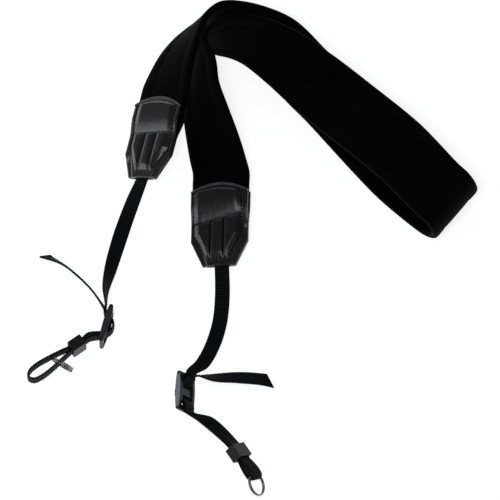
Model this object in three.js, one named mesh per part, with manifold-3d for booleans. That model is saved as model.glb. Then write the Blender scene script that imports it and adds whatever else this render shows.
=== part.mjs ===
// Camera neck strap, lying on a table as it is put down after use.
//
// A long neoprene pad is folded in half. Both halves lie on top of each other, turn on edge round
// one tight bend and fan out as two legs. Each leg ends in a leather tab, and each tab carries a
// ribbed webbing strap that runs through a slider, doubles back through a keeper to hold a split
// ring, and ends as a free tail.
//
// Millimetres, +Z up, the table is Z = 0. Headings are degrees from +X, counter-clockwise.

import * as THREE from 'three';
import { mergeVertices } from 'three/addons/utils/BufferGeometryUtils.js';
import Module from 'manifold-3d';

// Driving sizes
const PAD_THICKNESS = 5;
const FIT_GAP = 0.3;
const BINDING_GAP = 0.4;
const BINDING_WALL = 1;
const BINDING_REACH = 9;
const FOLD_STEPS = 6;
const PAD_STEPS = 2;

const TAB_WIDTH = 39;
const TAB_LENGTH = 58;
const TAB_END_WIDTH = 22.5;
const TAB_SHOULDER = 41;
const TAB_ARC_RISE = 6;
const TAB_RIM_WIDTH = 3;
const TAB_PAD_OVERLAP = 15;
const TAB_CHANNEL_SHARE = 0.7;
const LEATHER = 1.3;

const WEBBING_WIDTH = 10;
const WEBBING_THICKNESS = 1.4;
const WEBBING_CHAMFER = 0.35;
const WEBBING_STEPS = 2;

const SLIDER = {
  length: 27, width: 16, railWidth: 2.1, railThickness: 4.6, barThickness: 2.2, middleBar: 4.4, slotEnd: 9.4,
};
const KEEPER = { length: 10, width: 13, height: 7.8, wall: 1.1 };
const RING = { radius: 7.5, wire: 0.95, turns: 2, pitch: 1.05, stepsPerTurn: 20, sides: 5 };

// Middle of the strap's outline on the table, which becomes the origin
const OUTLINE_MIDDLE = { x: 2.05, y: -5.6, z: -0.11 };

// Colours and finishes
const finishes = {
  neoprene: { color: 0x0b0d10, roughness: 0.9, metalness: 0 },
  binding: { color: 0x101216, roughness: 0.8, metalness: 0 },
  leather: { color: 0x15171a, roughness: 0.4, metalness: 0 },
  leatherEdge: { color: 0x4a4d50, roughness: 0.5, metalness: 0 },
  webbing: { color: 0x0e100e, roughness: 0.85, metalness: 0 },
  plastic: { color: 0x2b2e33, roughness: 0.45, metalness: 0 },
  steel: { color: 0xb8b9b4, roughness: 0.25, metalness: 1 },
};

const strap = new THREE.Group();

/** Adds one named piece to the strap. */
function addPiece(name, geometry, finish, placing) {
  const piece = new THREE.Mesh(geometry, new THREE.MeshStandardMaterial(finish));
  piece.name = name;
  if (placing) placing.matrix.decompose(piece.position, piece.quaternion, piece.scale);
  piece.position.sub(OUTLINE_MIDDLE);
  strap.add(piece);
}

// ---------------------------------------------------------------- places and frames

/** Unit vector at a heading in plan, leaning up from the table by lean degrees. */
function direction(heading, lean) {
  const turn = THREE.MathUtils.degToRad(heading);
  const rise = THREE.MathUtils.degToRad(lean);
  return new THREE.Vector3(Math.cos(rise) * Math.cos(turn), Math.cos(rise) * Math.sin(turn), Math.sin(rise));
}

/** A placing whose local X runs along, Y across and Z up off the face. */
function placingAt(origin, along, across) {
  const x = along.clone().normalize();
  const z = new THREE.Vector3().crossVectors(x, across).normalize();
  const y = new THREE.Vector3().crossVectors(z, x);
  const matrix = new THREE.Matrix4().makeBasis(x, y, z).setPosition(origin);
  return {
    matrix,
    point: (s, u, h) => new THREE.Vector3(s, u, h).applyMatrix4(matrix),
    across: y,
    along: x,
  };
}

/** A ribbon follows a list of stops, each with a middle point, a direction across it and a width. */
class Ribbon {
  constructor(stops) {
    const edge = (side) => new THREE.CatmullRomCurve3(
      stops.map((stop) => stop.middle.clone().addScaledVector(stop.across, (side * stop.width) / 2)),
    );
    this.left = edge(-1);
    this.right = edge(1);
    this.last = stops.length - 1;
    this.bows = stops.map((stop) => stop.bow ?? 0);
  }

  /** Middle, directions, width and bow at a place counted in stops from the start. */
  frameAt(place) {
    const middleAt = (at) => {
      const share = THREE.MathUtils.clamp(at / this.last, 0, 1);
      return this.left.getPoint(share).add(this.right.getPoint(share)).multiplyScalar(0.5);
    };
    const reach = 0.02;
    const span = this.right.getPoint(place / this.last).sub(this.left.getPoint(place / this.last));
    const tangent = middleAt(place + reach).sub(middleAt(place - reach)).normalize();
    const width = span.length();
    const normal = new THREE.Vector3().crossVectors(tangent, span).normalize();
    const across = new THREE.Vector3().crossVectors(normal, tangent).normalize();
    const before = Math.min(Math.floor(place), this.last - 1);
    const bow = THREE.MathUtils.lerp(this.bows[before], this.bows[before + 1], place - before);
    return { middle: middleAt(place), span: span.normalize(), across, normal, tangent, width, bow };
  }

  /** Point at u across from the middle and v off the ribbon's face, both in millimetres. */
  static point(frame, u, v) {
    const fullness = 1 - (2 * u / frame.width) ** 2;
    return frame.middle.clone()
      .addScaledVector(frame.span, u)
      .addScaledVector(frame.normal, v + frame.bow * fullness);
  }
}

/**
 * Solid skinned over rings of points that run counter-clockwise seen from the far end, without its
 * end caps. turned says for a side of the ring whether its quads are split the other way.
 */
function skinRings(rings, turned = () => false) {
  const count = rings[0].length;
  const positions = rings.flat().flatMap((point) => point.toArray());
  const triangles = [];
  for (let ring = 0; ring < rings.length - 1; ring += 1) {
    for (let side = 0; side < count; side += 1) {
      const next = (side + 1) % count;
      const [a, b] = [ring * count + side, ring * count + next];
      if (turned(side)) {
        triangles.push(a, b, a + count, b, b + count, a + count);
      } else {
        triangles.push(a, b, b + count, a, b + count, a + count);
      }
    }
  }
  return { positions, triangles, last: (rings.length - 1) * count };
}

/** Solid of a constant-layout section swept along a ribbon, with both ends capped. */
function sweepRibbon(ribbon, places, section) {
  const rings = places.map((place) => {
    const frame = ribbon.frameAt(place);
    return section(frame).map(([u, v]) => Ribbon.point(frame, u, v));
  });
  const outline = section(ribbon.frameAt(places[0])).map(([u, v]) => new THREE.Vector2(u, v));
  const skin = skinRings(rings, (side) => outline[(side + 1) % outline.length].x < outline[side].x);
  for (const [a, b, c] of THREE.ShapeUtils.triangulateShape(outline, [])) {
    skin.triangles.push(a, c, b, skin.last + a, skin.last + b, skin.last + c);
  }
  return solidFrom(skin.positions, skin.triangles);
}

function solidFrom(positions, triangles) {
  const geometry = new THREE.BufferGeometry();
  geometry.setAttribute('position', new THREE.Float32BufferAttribute(positions, 3));
  geometry.setIndex(triangles);
  geometry.computeVertexNormals();
  return geometry;
}

/** Places from one stop to another, with a given number of steps between neighbouring stops. */
function placesBetween(first, last, stepsPerStop) {
  const count = Math.round((last - first) * stepsPerStop);
  return Array.from({ length: count + 1 }, (_, index) => first + (index * (last - first)) / count);
}

// ---------------------------------------------------------------- where the tabs lie
//
// x, y, z is the middle of a tab's upper end. The tab points along heading, dips by pitch, and is
// rolled about its length so that its right-hand edge stands off the table.

const TABS = {
  left: { x: -57.6, y: 102.3, z: 15.6, heading: -104.2, pitch: 3, roll: 36, webbingAside: 0 },
  right: { x: -19.3, y: 43.8, z: 9.3, heading: -91.2, pitch: 2, roll: 14, webbingAside: 1.8 },
};

const tabPlacings = Object.fromEntries(Object.entries(TABS).map(([side, tab]) => [side, placingAt(
  new THREE.Vector3(tab.x, tab.y, tab.z),
  direction(tab.heading, -tab.pitch),
  direction(tab.heading + 90, tab.roll),
)]));

// ---------------------------------------------------------------- route of the pad
//
// Each row is one section of the pad. x, y, z place its inner edge, the one on the inside of the
// bend. heading and lean point from there to the outer edge: lean 0 lies flat with the outer edge
// away from the bend, 90 stands on the inner edge, and 180 has tipped over and lies flat again.
// bow is how far the middle of the section stands off the straight line between its edges.

const lowerHalf = [
  // left leg, from its tab up to the bend
  { x: -66, y: 125.5, z: 2.8, heading: 154, lean: 138, width: 39, bow: -0.6 },
  { x: -57.8, y: 139.5, z: 2.6, heading: 144, lean: 129, width: 39.5, bow: -1 },
  { x: -46.2, y: 152, z: 2.1, heading: 134, lean: 117, width: 40, bow: -1 },
  // on edge round the bend
  { x: -33, y: 160, z: 1.6, heading: 119, lean: 103, width: 40.5, bow: -0.6 },
  { x: -19.5, y: 156.5, z: 1.4, heading: 99, lean: 85, width: 41, bow: 0 },
  { x: -6.5, y: 145, z: 2, heading: 77, lean: 66, width: 41.5, bow: 0 },
  // lower half of the pad, settling flat on the table
  { x: 8.6, y: 126.2, z: 2.2, heading: 56, lean: 35, width: 43, bow: 0 },
  { x: 22, y: 107.5, z: 2.7, heading: 45, lean: 13, width: 43.5, bow: 0 },
  { x: 38, y: 90.3, z: 2.5, heading: 41.5, lean: 3, width: 45, bow: 0 },
  { x: 52, y: 74, z: 2.5, heading: 41.5, lean: 0.4, width: 45.6, bow: 0 },
  { x: 70, y: 53, z: 2.5, heading: 43, lean: 0, width: 46, bow: 0 },
  { x: 86, y: 35.5, z: 2.5, heading: 46, lean: 0, width: 45.5, bow: 0 },
];

const upperHalf = [
  // upper half of the pad, coming back from the fold
  { x: 84, y: 43, z: 27.5, heading: 49, lean: 7, width: 45.5, bow: 0 },
  { x: 52, y: 74, z: 18, heading: 49, lean: 12, width: 45.5, bow: 0 },
  { x: 29.5, y: 96, z: 12.5, heading: 51, lean: 22, width: 44.5, bow: 0 },
  { x: 11.2, y: 116.2, z: 8, heading: 55, lean: 39, width: 43, bow: 0 },
  // on edge round the bend, inside the lower half
  { x: -6.5, y: 133.2, z: 3.4, heading: 72, lean: 60, width: 42, bow: 0 },
  { x: -20, y: 139, z: 1.9, heading: 96, lean: 77, width: 41, bow: 0 },
  { x: -32.5, y: 139, z: 1.6, heading: 140, lean: 101, width: 40, bow: 0.4 },
  { x: -39.5, y: 127, z: 2, heading: 163, lean: 114, width: 39.5, bow: 1 },
  // right leg, down to its tab
  { x: -43, y: 111, z: 2.2, heading: 170, lean: 124, width: 39, bow: 1.4 },
  { x: -43.8, y: 94.5, z: 2.4, heading: 175, lean: 137, width: 39, bow: 1.2 },
  { x: -42.2, y: 77, z: 2.9, heading: 178, lean: 150, width: 39, bow: 0.8 },
  { x: -39.8, y: 61, z: 3.2, heading: 179, lean: 161, width: 39, bow: 0.3 },
];

// The fold joins both halves: a half circle that stands on the table across the pad.
const FOLD = { x: 110, y: 14, heading: 50, width: 44.5, radius: 15.5, middleZ: 18.45, swell: 2.5 };

// Stops along a tab, measured down from its upper end, that keep the pad flat inside it.
const PAD_END_STOPS = [TAB_PAD_OVERLAP - 0.5, 7, 0, -7];

function padStop({ x, y, z, heading, lean, width, bow }) {
  const across = direction(heading, lean);
  const middle = new THREE.Vector3(x, y, z).addScaledVector(across, width / 2);
  return { middle, across, width, bow };
}

function padEndStops(placing) {
  return PAD_END_STOPS.map((along) => ({
    middle: placing.point(along, 0, 0), across: placing.across, width: TAB_WIDTH, bow: 0,
  }));
}

function foldStops() {
  const across = direction(FOLD.heading, 0);
  const away = direction(FOLD.heading - 90, 0);
  return Array.from({ length: FOLD_STEPS + 1 }, (_, step) => {
    const turn = Math.PI * (step / FOLD_STEPS - 0.5);
    const middle = new THREE.Vector3(FOLD.x, FOLD.y, FOLD.middleZ)
      .addScaledVector(across, FOLD.width / 2)
      .addScaledVector(away, FOLD.radius * Math.cos(turn));
    middle.z += FOLD.radius * Math.sin(turn);
    const leaning = direction(FOLD.heading, FOLD.swell * (1 + Math.sin(turn)));
    return { middle, across: leaning, width: FOLD.width, bow: 0 };
  });
}

const padStops = [
  ...padEndStops(tabPlacings.left), ...lowerHalf.map(padStop), ...foldStops(),
  ...upperHalf.map(padStop), ...padEndStops(tabPlacings.right).reverse(),
];
const padRoute = new Ribbon(padStops);

// ---------------------------------------------------------------- neoprene pad and its bindings

/** Section of the neoprene: full in the middle, stepped down where the bindings wrap round it. */
function neopreneSection({ width }) {
  const edge = width / 2 - BINDING_WALL - BINDING_GAP;
  const step = width / 2 - BINDING_REACH - BINDING_GAP;
  const full = PAD_THICKNESS / 2;
  const thin = full - BINDING_WALL - BINDING_GAP;
  return [
    [edge, -thin], [edge, thin], [step, thin], [step, full], [0, full], [-step, full], [-step, thin],
    [-edge, thin], [-edge, -thin], [-step, -thin], [-step, -full], [0, -full], [step, -full], [step, -thin],
  ];
}

/** Section of a binding folded round one edge; side is 1 for the outer edge and -1 for the inner. */
function bindingSection(side) {
  return ({ width }) => {
    const edge = width / 2;
    const start = edge - BINDING_REACH;
    const full = PAD_THICKNESS / 2;
    const inside = full - BINDING_WALL;
    const outline = [
      [start, -full], [edge - BINDING_WALL, -full], [edge, -inside], [edge, inside],
      [edge - BINDING_WALL, full], [start, full], [start, inside], [edge - BINDING_WALL, inside],
      [edge - BINDING_WALL, -inside], [start, -inside],
    ];
    return side > 0 ? outline : outline.map(([u, v]) => [-u, v]).reverse();
  };
}

const padPlaces = placesBetween(0, padStops.length - 1, PAD_STEPS);
addPiece('neck_pad', sweepRibbon(padRoute, padPlaces, neopreneSection), finishes.neoprene);
addPiece('pad_binding_outer', sweepRibbon(padRoute, padPlaces, bindingSection(1)), finishes.binding);
addPiece('pad_binding_inner', sweepRibbon(padRoute, padPlaces, bindingSection(-1)), finishes.binding);

// ---------------------------------------------------------------- leather tabs

/** Half the width of a tab at a distance from its top edge. */
function tabHalfWidth(along) {
  const narrowing = THREE.MathUtils.clamp((along - TAB_SHOULDER) / (TAB_LENGTH - TAB_SHOULDER), 0, 1);
  return THREE.MathUtils.lerp(TAB_WIDTH, TAB_END_WIDTH, narrowing) / 2;
}

/** How far the curved top edge lies below its crown, fading out down the tab. */
function tabArcDrop(share, along) {
  return TAB_ARC_RISE * share ** 2 * Math.max(0, 1 - along / TAB_PAD_OVERLAP);
}

/** Blend from 0 to 1 between two values. */
function ramp(value, from, to) {
  return THREE.MathUtils.smoothstep(value, from, to);
}

const tabColumns = [-1, -0.8, -0.64, -0.29, -0.23, -0.17, 0, 0.17, 0.23, 0.29, 0.64, 0.8, 1];
const tabFrontRows = [TAB_RIM_WIDTH + FIT_GAP, 5, 8, 15, 18.5, 26.8, 28.4, 30.4, TAB_SHOULDER, 49, 53, TAB_LENGTH];
const tabBackRows = [0, 8, 15, 18.5, 30, TAB_SHOULDER, TAB_LENGTH];
const PANEL_END = 28.4;
const FLUTE_END = 53;
const GROOVE_SHARE = 0.23;

/** Height of the leather's underside over the tab's middle plane: over the pad, then down to the seam. */
function tabUnderside(share, along) {
  const overPad = PAD_THICKNESS / 2 + FIT_GAP;
  const seam = FIT_GAP / 2;
  const channel = WEBBING_THICKNESS / 2 + FIT_GAP;
  const rest = Math.abs(share) < TAB_CHANNEL_SHARE ? Math.max(seam, channel * ramp(along, 18, 30)) : seam;
  return THREE.MathUtils.lerp(overPad, rest, ramp(along, TAB_PAD_OVERLAP, TAB_PAD_OVERLAP + 6));
}

/** Height of the padding under the leather: one smooth panel, then three flutes. */
function tabPadding(share, along) {
  const side = 1 - ramp(Math.abs(share), 0.64, 0.8);
  const panel = 2.4 * ramp(along, 4, 8) * (1 - ramp(along, PANEL_END - 1.6, PANEL_END));
  const crown = 1.6 * ramp(along, PANEL_END, PANEL_END + 2) * (1 - ramp(along, FLUTE_END - 4, FLUTE_END));
  const groove = ramp(Math.abs(Math.abs(share) - GROOVE_SHARE), 0, 0.05);
  return side * (panel + crown * groove);
}

/** Closed solid between an upper and a lower height over the tab's outline. */
function tabSheet(rows, columns, upper, lower) {
  const positions = [];
  const triangles = [];
  for (const height of [upper, lower]) {
    for (const along of rows) {
      for (const share of columns) {
        const place = along + tabArcDrop(share, along);
        positions.push(place, share * tabHalfWidth(along), height(share, along));
      }
    }
  }
  const width = columns.length;
  const layer = rows.length * width;
  for (let row = 0; row < rows.length - 1; row += 1) {
    for (let column = 0; column < width - 1; column += 1) {
      const a = row * width + column;
      const [b, c, d] = [a + width, a + width + 1, a + 1];
      triangles.push(a, b, c, a, c, d, a + layer, c + layer, b + layer, a + layer, d + layer, c + layer);
    }
  }
  const wall = (a, b) => triangles.push(a, b + layer, b, a, a + layer, b + layer);
  const lastRow = (rows.length - 1) * width;
  for (let column = 0; column < width - 1; column += 1) {
    wall(column + 1, column);
    wall(lastRow + column, lastRow + column + 1);
  }
  for (let row = 0; row < rows.length - 1; row += 1) {
    wall(row * width, (row + 1) * width);
    wall((row + 1) * width + width - 1, row * width + width - 1);
  }
  return solidFrom(positions, triangles);
}

function addTab(side, placing) {
  const over = (height) => (share, along) => height(share, along);
  const front = over((share, along) => tabUnderside(share, along) + LEATHER + tabPadding(share, along));
  const rimTop = () => PAD_THICKNESS / 2 + FIT_GAP + LEATHER * 1.3;
  const rimRows = [0, TAB_RIM_WIDTH / 2, TAB_RIM_WIDTH];
  addPiece(`tab_front_${side}`, tabSheet(tabFrontRows, tabColumns, front, tabUnderside), finishes.leather, placing);
  const rimColumns = [-1, -0.66, -0.33, 0, 0.33, 0.66, 1];
  addPiece(`tab_rim_${side}`, tabSheet(rimRows, rimColumns, rimTop, tabUnderside), finishes.leatherEdge, placing);
  const backTop = (share, along) => -tabUnderside(share, along);
  const backBottom = (share, along) => -tabUnderside(share, along) - LEATHER;
  const backColumns = [-1, -0.66, -0.5, -0.33, 0, 0.33, 0.5, 0.66, 1];
  addPiece(`tab_back_${side}`, tabSheet(tabBackRows, backColumns, backTop, backBottom), finishes.leather, placing);
}

for (const [side, placing] of Object.entries(tabPlacings)) addTab(side, placing);

// ---------------------------------------------------------------- sliders, keepers and rings

const wasm = await Module();
wasm.setup();

function manifoldFrom(geometry) {
  const bare = geometry.clone();
  bare.deleteAttribute('normal');
  bare.deleteAttribute('uv');
  const merged = mergeVertices(bare, 1e-4);
  return new wasm.Manifold(new wasm.Mesh({
    numProp: 3,
    vertProperties: new Float32Array(merged.attributes.position.array),
    triVerts: new Uint32Array(merged.index.array),
  }));
}

/** One solid from several geometries that overlap where they join. */
function joined(geometries) {
  const whole = geometries.map(manifoldFrom).reduce((sum, next) => sum.add(next));
  const mesh = whole.getMesh();
  return solidFrom(Array.from(mesh.vertProperties), Array.from(mesh.triVerts));
}

/** Side profile of a slider's rail: flat-ended, and bowed to full thickness in the middle. */
function railProfile() {
  const end = SLIDER.length / 2;
  const thin = SLIDER.barThickness / 2 + 0.15;
  const outline = new THREE.Shape();
  outline.moveTo(-end, -thin);
  outline.quadraticCurveTo(0, -SLIDER.railThickness + thin, end, -thin);
  outline.lineTo(end, thin);
  outline.quadraticCurveTo(0, SLIDER.railThickness - thin, -end, thin);
  outline.closePath();
  return outline;
}

/** Three-bar slider, lying along X with its bars across Y. */
function sliderGeometry() {
  const half = SLIDER.width / 2;
  const rails = [-half, half - SLIDER.railWidth].map((start) => {
    const rail = new THREE.ExtrudeGeometry(railProfile(), { depth: SLIDER.railWidth, bevelEnabled: false, curveSegments: 8 });
    return rail.rotateX(Math.PI / 2).translate(0, start + SLIDER.railWidth, 0);
  });
  const endBar = SLIDER.length / 2 - SLIDER.slotEnd;
  const bars = [
    [-SLIDER.slotEnd - endBar / 2, endBar - 0.4], [0, SLIDER.middleBar], [SLIDER.slotEnd + endBar / 2, endBar - 0.4],
  ].map(([middle, length]) => {
    const bar = new THREE.BoxGeometry(length, SLIDER.width - SLIDER.railWidth, SLIDER.barThickness);
    return bar.translate(middle, 0, 0);
  });
  return joined([...rails, ...bars]);
}

/** Box sleeve open at both ends, lying along X. */
function keeperGeometry() {
  const rectangle = (width, height, path) => {
    path.moveTo(-width / 2, -height / 2);
    path.lineTo(width / 2, -height / 2);
    path.lineTo(width / 2, height / 2);
    path.lineTo(-width / 2, height / 2);
    path.closePath();
    return path;
  };
  const wall = rectangle(KEEPER.width, KEEPER.height, new THREE.Shape());
  wall.holes.push(rectangle(KEEPER.width - 2 * KEEPER.wall, KEEPER.height - 2 * KEEPER.wall, new THREE.Path()));
  const sleeve = new THREE.ExtrudeGeometry(wall, { depth: KEEPER.length, bevelEnabled: false });
  return sleeve.translate(0, 0, -KEEPER.length / 2).rotateZ(Math.PI / 2).rotateY(Math.PI / 2);
}

/** Split ring: a wire wound twice round, about the local Z axis. */
function ringGeometry() {
  const steps = RING.turns * RING.stepsPerTurn;
  const rings = Array.from({ length: steps + 1 }, (_, step) => {
    const turn = (step / RING.stepsPerTurn) * 2 * Math.PI;
    const outward = new THREE.Vector3(Math.cos(turn), Math.sin(turn), 0);
    const rise = RING.pitch * (step / RING.stepsPerTurn - RING.turns / 2);
    return Array.from({ length: RING.sides }, (__, side) => {
      const around = (-2 * Math.PI * (side + 0.5)) / RING.sides;
      const point = outward.clone().multiplyScalar(RING.radius + (RING.wire / 2) * Math.cos(around));
      point.z = rise + (RING.wire / 2) * Math.sin(around);
      return point;
    });
  });
  const skin = skinRings(rings);
  for (let side = 1; side < RING.sides - 1; side += 1) {
    skin.triangles.push(0, side + 1, side, skin.last, skin.last + side, skin.last + side + 1);
  }
  return solidFrom(skin.positions, skin.triangles);
}

// Each row places one hard piece: its middle, the heading it lies along, and the heading and lean of
// its width.
const pieceRows = {
  slider_left: { x: -95.3, y: -56.9, z: 8.2, along: -105.5, heading: 0, lean: -90 },
  keeper_left: { x: -114.8, y: -70.1, z: 7, along: 215.8, heading: 0, lean: -90 },
  split_ring_left: { x: -124.3, y: -83.7, z: 8.1, along: -31, heading: 0, lean: 90 },
  slider_right: { x: -43, y: -103.7, z: 8.4, along: -92, heading: 178, lean: 54 },
  keeper_right: { x: -7.5, y: -145.4, z: 8.6, along: -57.1, heading: 32.9, lean: -46 },
};

const placings = Object.fromEntries(Object.entries(pieceRows).map(([name, row]) => [name, placingAt(
  new THREE.Vector3(row.x, row.y, row.z), direction(row.along, 0), direction(row.heading, row.lean),
)]));

// The right-hand ring hangs from the end of its loop: reach is how far past the keeper's middle its
// wire crosses the loop, rise how far off the middle plane, and swing how far it tips down.
const RING_HANG = { reach: 17.6, rise: 0.35, swing: -22 };

function ringInLoop(keeper) {
  const swing = THREE.MathUtils.degToRad(RING_HANG.swing);
  const away = keeper.point(Math.cos(swing), 0, Math.sin(swing)).sub(keeper.point(0, 0, 0));
  const crossing = keeper.point(RING_HANG.reach, 0, RING_HANG.rise);
  return placingAt(crossing.addScaledVector(away, RING.radius), away, keeper.across);
}

placings.split_ring_right = ringInLoop(placings.keeper_right);

for (const side of ['left', 'right']) {
  addPiece(`slider_${side}`, sliderGeometry(), finishes.plastic, placings[`slider_${side}`]);
  addPiece(`keeper_${side}`, keeperGeometry(), finishes.plastic, placings[`keeper_${side}`]);
  addPiece(`split_ring_${side}`, ringGeometry(), finishes.steel, placings[`split_ring_${side}`]);
}

// ---------------------------------------------------------------- webbing straps
//
// Each strap is one length of webbing: out of the tab, over the slider's middle bar, through the
// keeper, round the split ring, back through the keeper, over the slider's middle bar again on top
// of the first layer, and out as a free tail.

/** Stops given along and off the face of a hard piece; side turns the webbing's width round. */
function stopsOn(placing, rows, side = 1) {
  return rows.map(([along, off, aside = 0]) => ({
    middle: placing.point(along, aside, off),
    across: placing.across.clone().multiplyScalar(side),
    width: WEBBING_WIDTH,
  }));
}

/** Stops lying free on the table. */
function freeStops(rows) {
  return rows.map(({ x, y, z, heading, lean }) => ({
    middle: new THREE.Vector3(x, y, z), across: direction(heading, lean), width: WEBBING_WIDTH,
  }));
}

const insideTab = (aside) => [[34, 0, aside / 3], [46, 0, aside * 0.7], [57, 0, aside]];
const overBarFirst = [[-9.3, -4], [-5.7, -1.2], [-2.6, 2], [0, 2.6], [2.6, 2], [5.7, -1.2]];
const overBarAgain = [[7, 0.2], [3.2, 3.9], [0, 4.5], [-3.2, 3.9], [-7, 0.2]];

const webbingStops = {
  left: [
    ...stopsOn(tabPlacings.left, insideTab(TABS.left.webbingAside)),
    ...freeStops([
      { x: -77.2, y: 33, z: 10.2, heading: -15, lean: 18 },
      { x: -83, y: 17, z: 8.6, heading: -17, lean: 4 },
      { x: -87.5, y: 3, z: 7.4, heading: -15, lean: -10 },
      { x: -93, y: -17, z: 7.2, heading: -11, lean: -42 },
      { x: -96, y: -31.5, z: 8, heading: -4, lean: -70 },
    ]),
    ...stopsOn(placings.slider_left, [[-13.2, -4.2], ...overBarFirst, [6.8, -4.2]]),
    ...stopsOn(placings.keeper_left, [
      [-10.4, -1.6], [-5, -1.1], [5, -1.2], [12, -2.5], [21, -3.7], [29, -4.3], [35, -3.7], [38.4, -1.7],
      [39, 0.7], [36.8, 3.4], [31, 4.4], [22, 3.8], [13, 2.4], [5, 1.2], [-5, 1.1], [-9.6, 1],
    ]),
    ...stopsOn(placings.slider_left, [[8.6, -2.6], ...overBarAgain, [-9.3, -2.2]]),
    ...freeStops([
      { x: -98.6, y: -41, z: 7.6, heading: 18, lean: -84 },
      { x: -104.6, y: -31.6, z: 6.8, heading: 35, lean: -78 },
      { x: -113, y: -22.2, z: 6.2, heading: 45, lean: -75 },
      { x: -124.5, y: -12.4, z: 5.8, heading: 60, lean: -70 },
      { x: -139.2, y: -5, z: 5.2, heading: 72, lean: -48 },
    ]),
  ],
  right: [
    ...stopsOn(tabPlacings.right, insideTab(TABS.right.webbingAside)),
    ...freeStops([
      { x: -18.4, y: -34, z: 5.2, heading: -1, lean: 4 },
      { x: -20, y: -52, z: 4.2, heading: -6, lean: -2 },
      { x: -24.9, y: -69.3, z: 4.6, heading: -18, lean: -10 },
      { x: -32, y: -83.5, z: 7.8, heading: -22, lean: -34 },
    ]),
    ...stopsOn(placings.slider_right, [[-13.4, -4.4], ...overBarFirst, [9.3, -4], [13.4, -4.5]], -1),
    ...freeStops([{ x: -28.8, y: -123, z: 9.6, heading: 28, lean: -22 }]),
    ...stopsOn(placings.keeper_right, [
      [-5.4, 1.1], [5, 1.2], [11, 2.3], [16, 2.8], [20, 2.2], [21.6, 0], [20, -2.2], [16, -2.8], [11, -2.3],
      [5, -1.2], [-5.4, -1.1],
    ]),
    ...freeStops([{ x: -29.7, y: -122.2, z: 7.8, heading: 28, lean: -22 }]),
    ...stopsOn(placings.slider_right, [[13.4, -2.5], [9.3, -2.2], ...overBarAgain, [-9.3, -2.2], [-11.6, -2.4]], -1),
    ...freeStops([
      { x: -35, y: -93, z: 12.4, heading: 70, lean: -74 },
      { x: -24.5, y: -93.6, z: 10.8, heading: 88, lean: -64 },
      { x: -8, y: -93.8, z: 8.4, heading: 90, lean: -44 },
      { x: 7, y: -94.8, z: 5.8, heading: 86, lean: -30 },
      { x: 17, y: -96.6, z: 4, heading: 82, lean: -22 },
    ]),
  ],
};

/** Section of the webbing, with its edges slightly rounded. */
function webbingSection({ width }) {
  const edge = width / 2;
  const flat = edge - WEBBING_CHAMFER;
  const full = WEBBING_THICKNESS / 2;
  return [[edge, 0], [flat, full], [-flat, full], [-edge, 0], [-flat, -full], [flat, -full]];
}

for (const [side, stops] of Object.entries(webbingStops)) {
  const places = placesBetween(0, stops.length - 1, WEBBING_STEPS);
  addPiece(`webbing_${side}`, sweepRibbon(new Ribbon(stops), places, webbingSection), finishes.webbing);
}

export default strap;
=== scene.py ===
"""Looks of a camera neck strap: neoprene pad, leather tabs, ribbed webbing and its small hardware."""

import logging
import math
from dataclasses import dataclass, field
from enum import Enum
from typing import Callable

import bmesh
import bpy
import numpy as np
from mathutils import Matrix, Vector


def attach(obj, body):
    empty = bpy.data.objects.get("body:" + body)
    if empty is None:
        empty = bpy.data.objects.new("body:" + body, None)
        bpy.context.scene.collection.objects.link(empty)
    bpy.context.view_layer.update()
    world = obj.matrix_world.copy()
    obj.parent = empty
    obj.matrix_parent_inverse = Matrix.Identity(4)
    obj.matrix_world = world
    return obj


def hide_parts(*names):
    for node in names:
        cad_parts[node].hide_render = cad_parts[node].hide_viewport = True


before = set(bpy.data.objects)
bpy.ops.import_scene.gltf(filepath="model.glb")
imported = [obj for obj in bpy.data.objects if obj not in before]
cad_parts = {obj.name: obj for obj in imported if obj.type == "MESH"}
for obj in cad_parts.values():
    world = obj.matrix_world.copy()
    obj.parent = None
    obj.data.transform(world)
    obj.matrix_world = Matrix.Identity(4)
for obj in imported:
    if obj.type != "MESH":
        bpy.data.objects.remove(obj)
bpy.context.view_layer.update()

LOG = logging.getLogger("neck_strap")
MM = 0.001
BODY = "root"

Array = np.ndarray
Section = Callable[["RouteFrame"], Array]

# Middle of the strap's outline on the table, in the frame that the routes below are written in
OUTLINE_MIDDLE = np.array([2.05, -5.6, -0.11])

# Driving sizes, in millimetres
PAD_THICKNESS = 5.0
BINDING_REACH = 9.0
FOLD_STEPS = 6
TAB_WIDTH = 39.0
TAB_LENGTH = 58.0
TAB_END_WIDTH = 22.5
TAB_SHOULDER = 41.0
TAB_ARC_RISE = 6.0
TAB_RIM_WIDTH = 3.0
TAB_PAD_OVERLAP = 15.0
LEATHER = 1.3
FIT_GAP = 0.3
WEBBING_WIDTH = 10.0
WEBBING_THICKNESS = 1.4
RING_RADIUS = 7.5


# ---------------------------------------------------------------- small geometry helpers


def smooth(value: Array, low: float, high: float) -> Array:
    """Blend from 0 at low to 1 at high, with soft ends."""
    share = np.clip((np.asarray(value, float) - low) / (high - low), 0, 1)
    return share * share * (3 - 2 * share)


def direction(heading: float, lean: float) -> Array:
    """Unit vector at a heading in plan, leaning up from the table by lean degrees."""
    turn, rise = math.radians(heading), math.radians(lean)
    return np.array([math.cos(rise) * math.cos(turn), math.cos(rise) * math.sin(turn), math.sin(rise)])


def unit(vector: Array) -> Array:
    """The vector at length one, along its last axis."""
    return vector / np.linalg.norm(vector, axis=-1, keepdims=True)


def noise(points: Array, scale: float, seed: int) -> Array:
    """Smooth random values from -1 to 1, the same each run.

    Args:
        points: places in millimetres, one a row.
        scale: size of the largest waves, in millimetres.
        seed: picks the waves.

    Returns:
        One value for each point.
    """
    rng = np.random.default_rng(seed)
    total = np.zeros(len(points))
    for octave in range(3):
        for _ in range(4):
            wave = rng.normal(size=points.shape[1])
            wave *= 2 * math.pi * 2**octave / (scale * np.linalg.norm(wave))
            total += np.sin(points @ wave + rng.uniform(0, 2 * math.pi)) / 2**octave
    return total / 7


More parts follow.
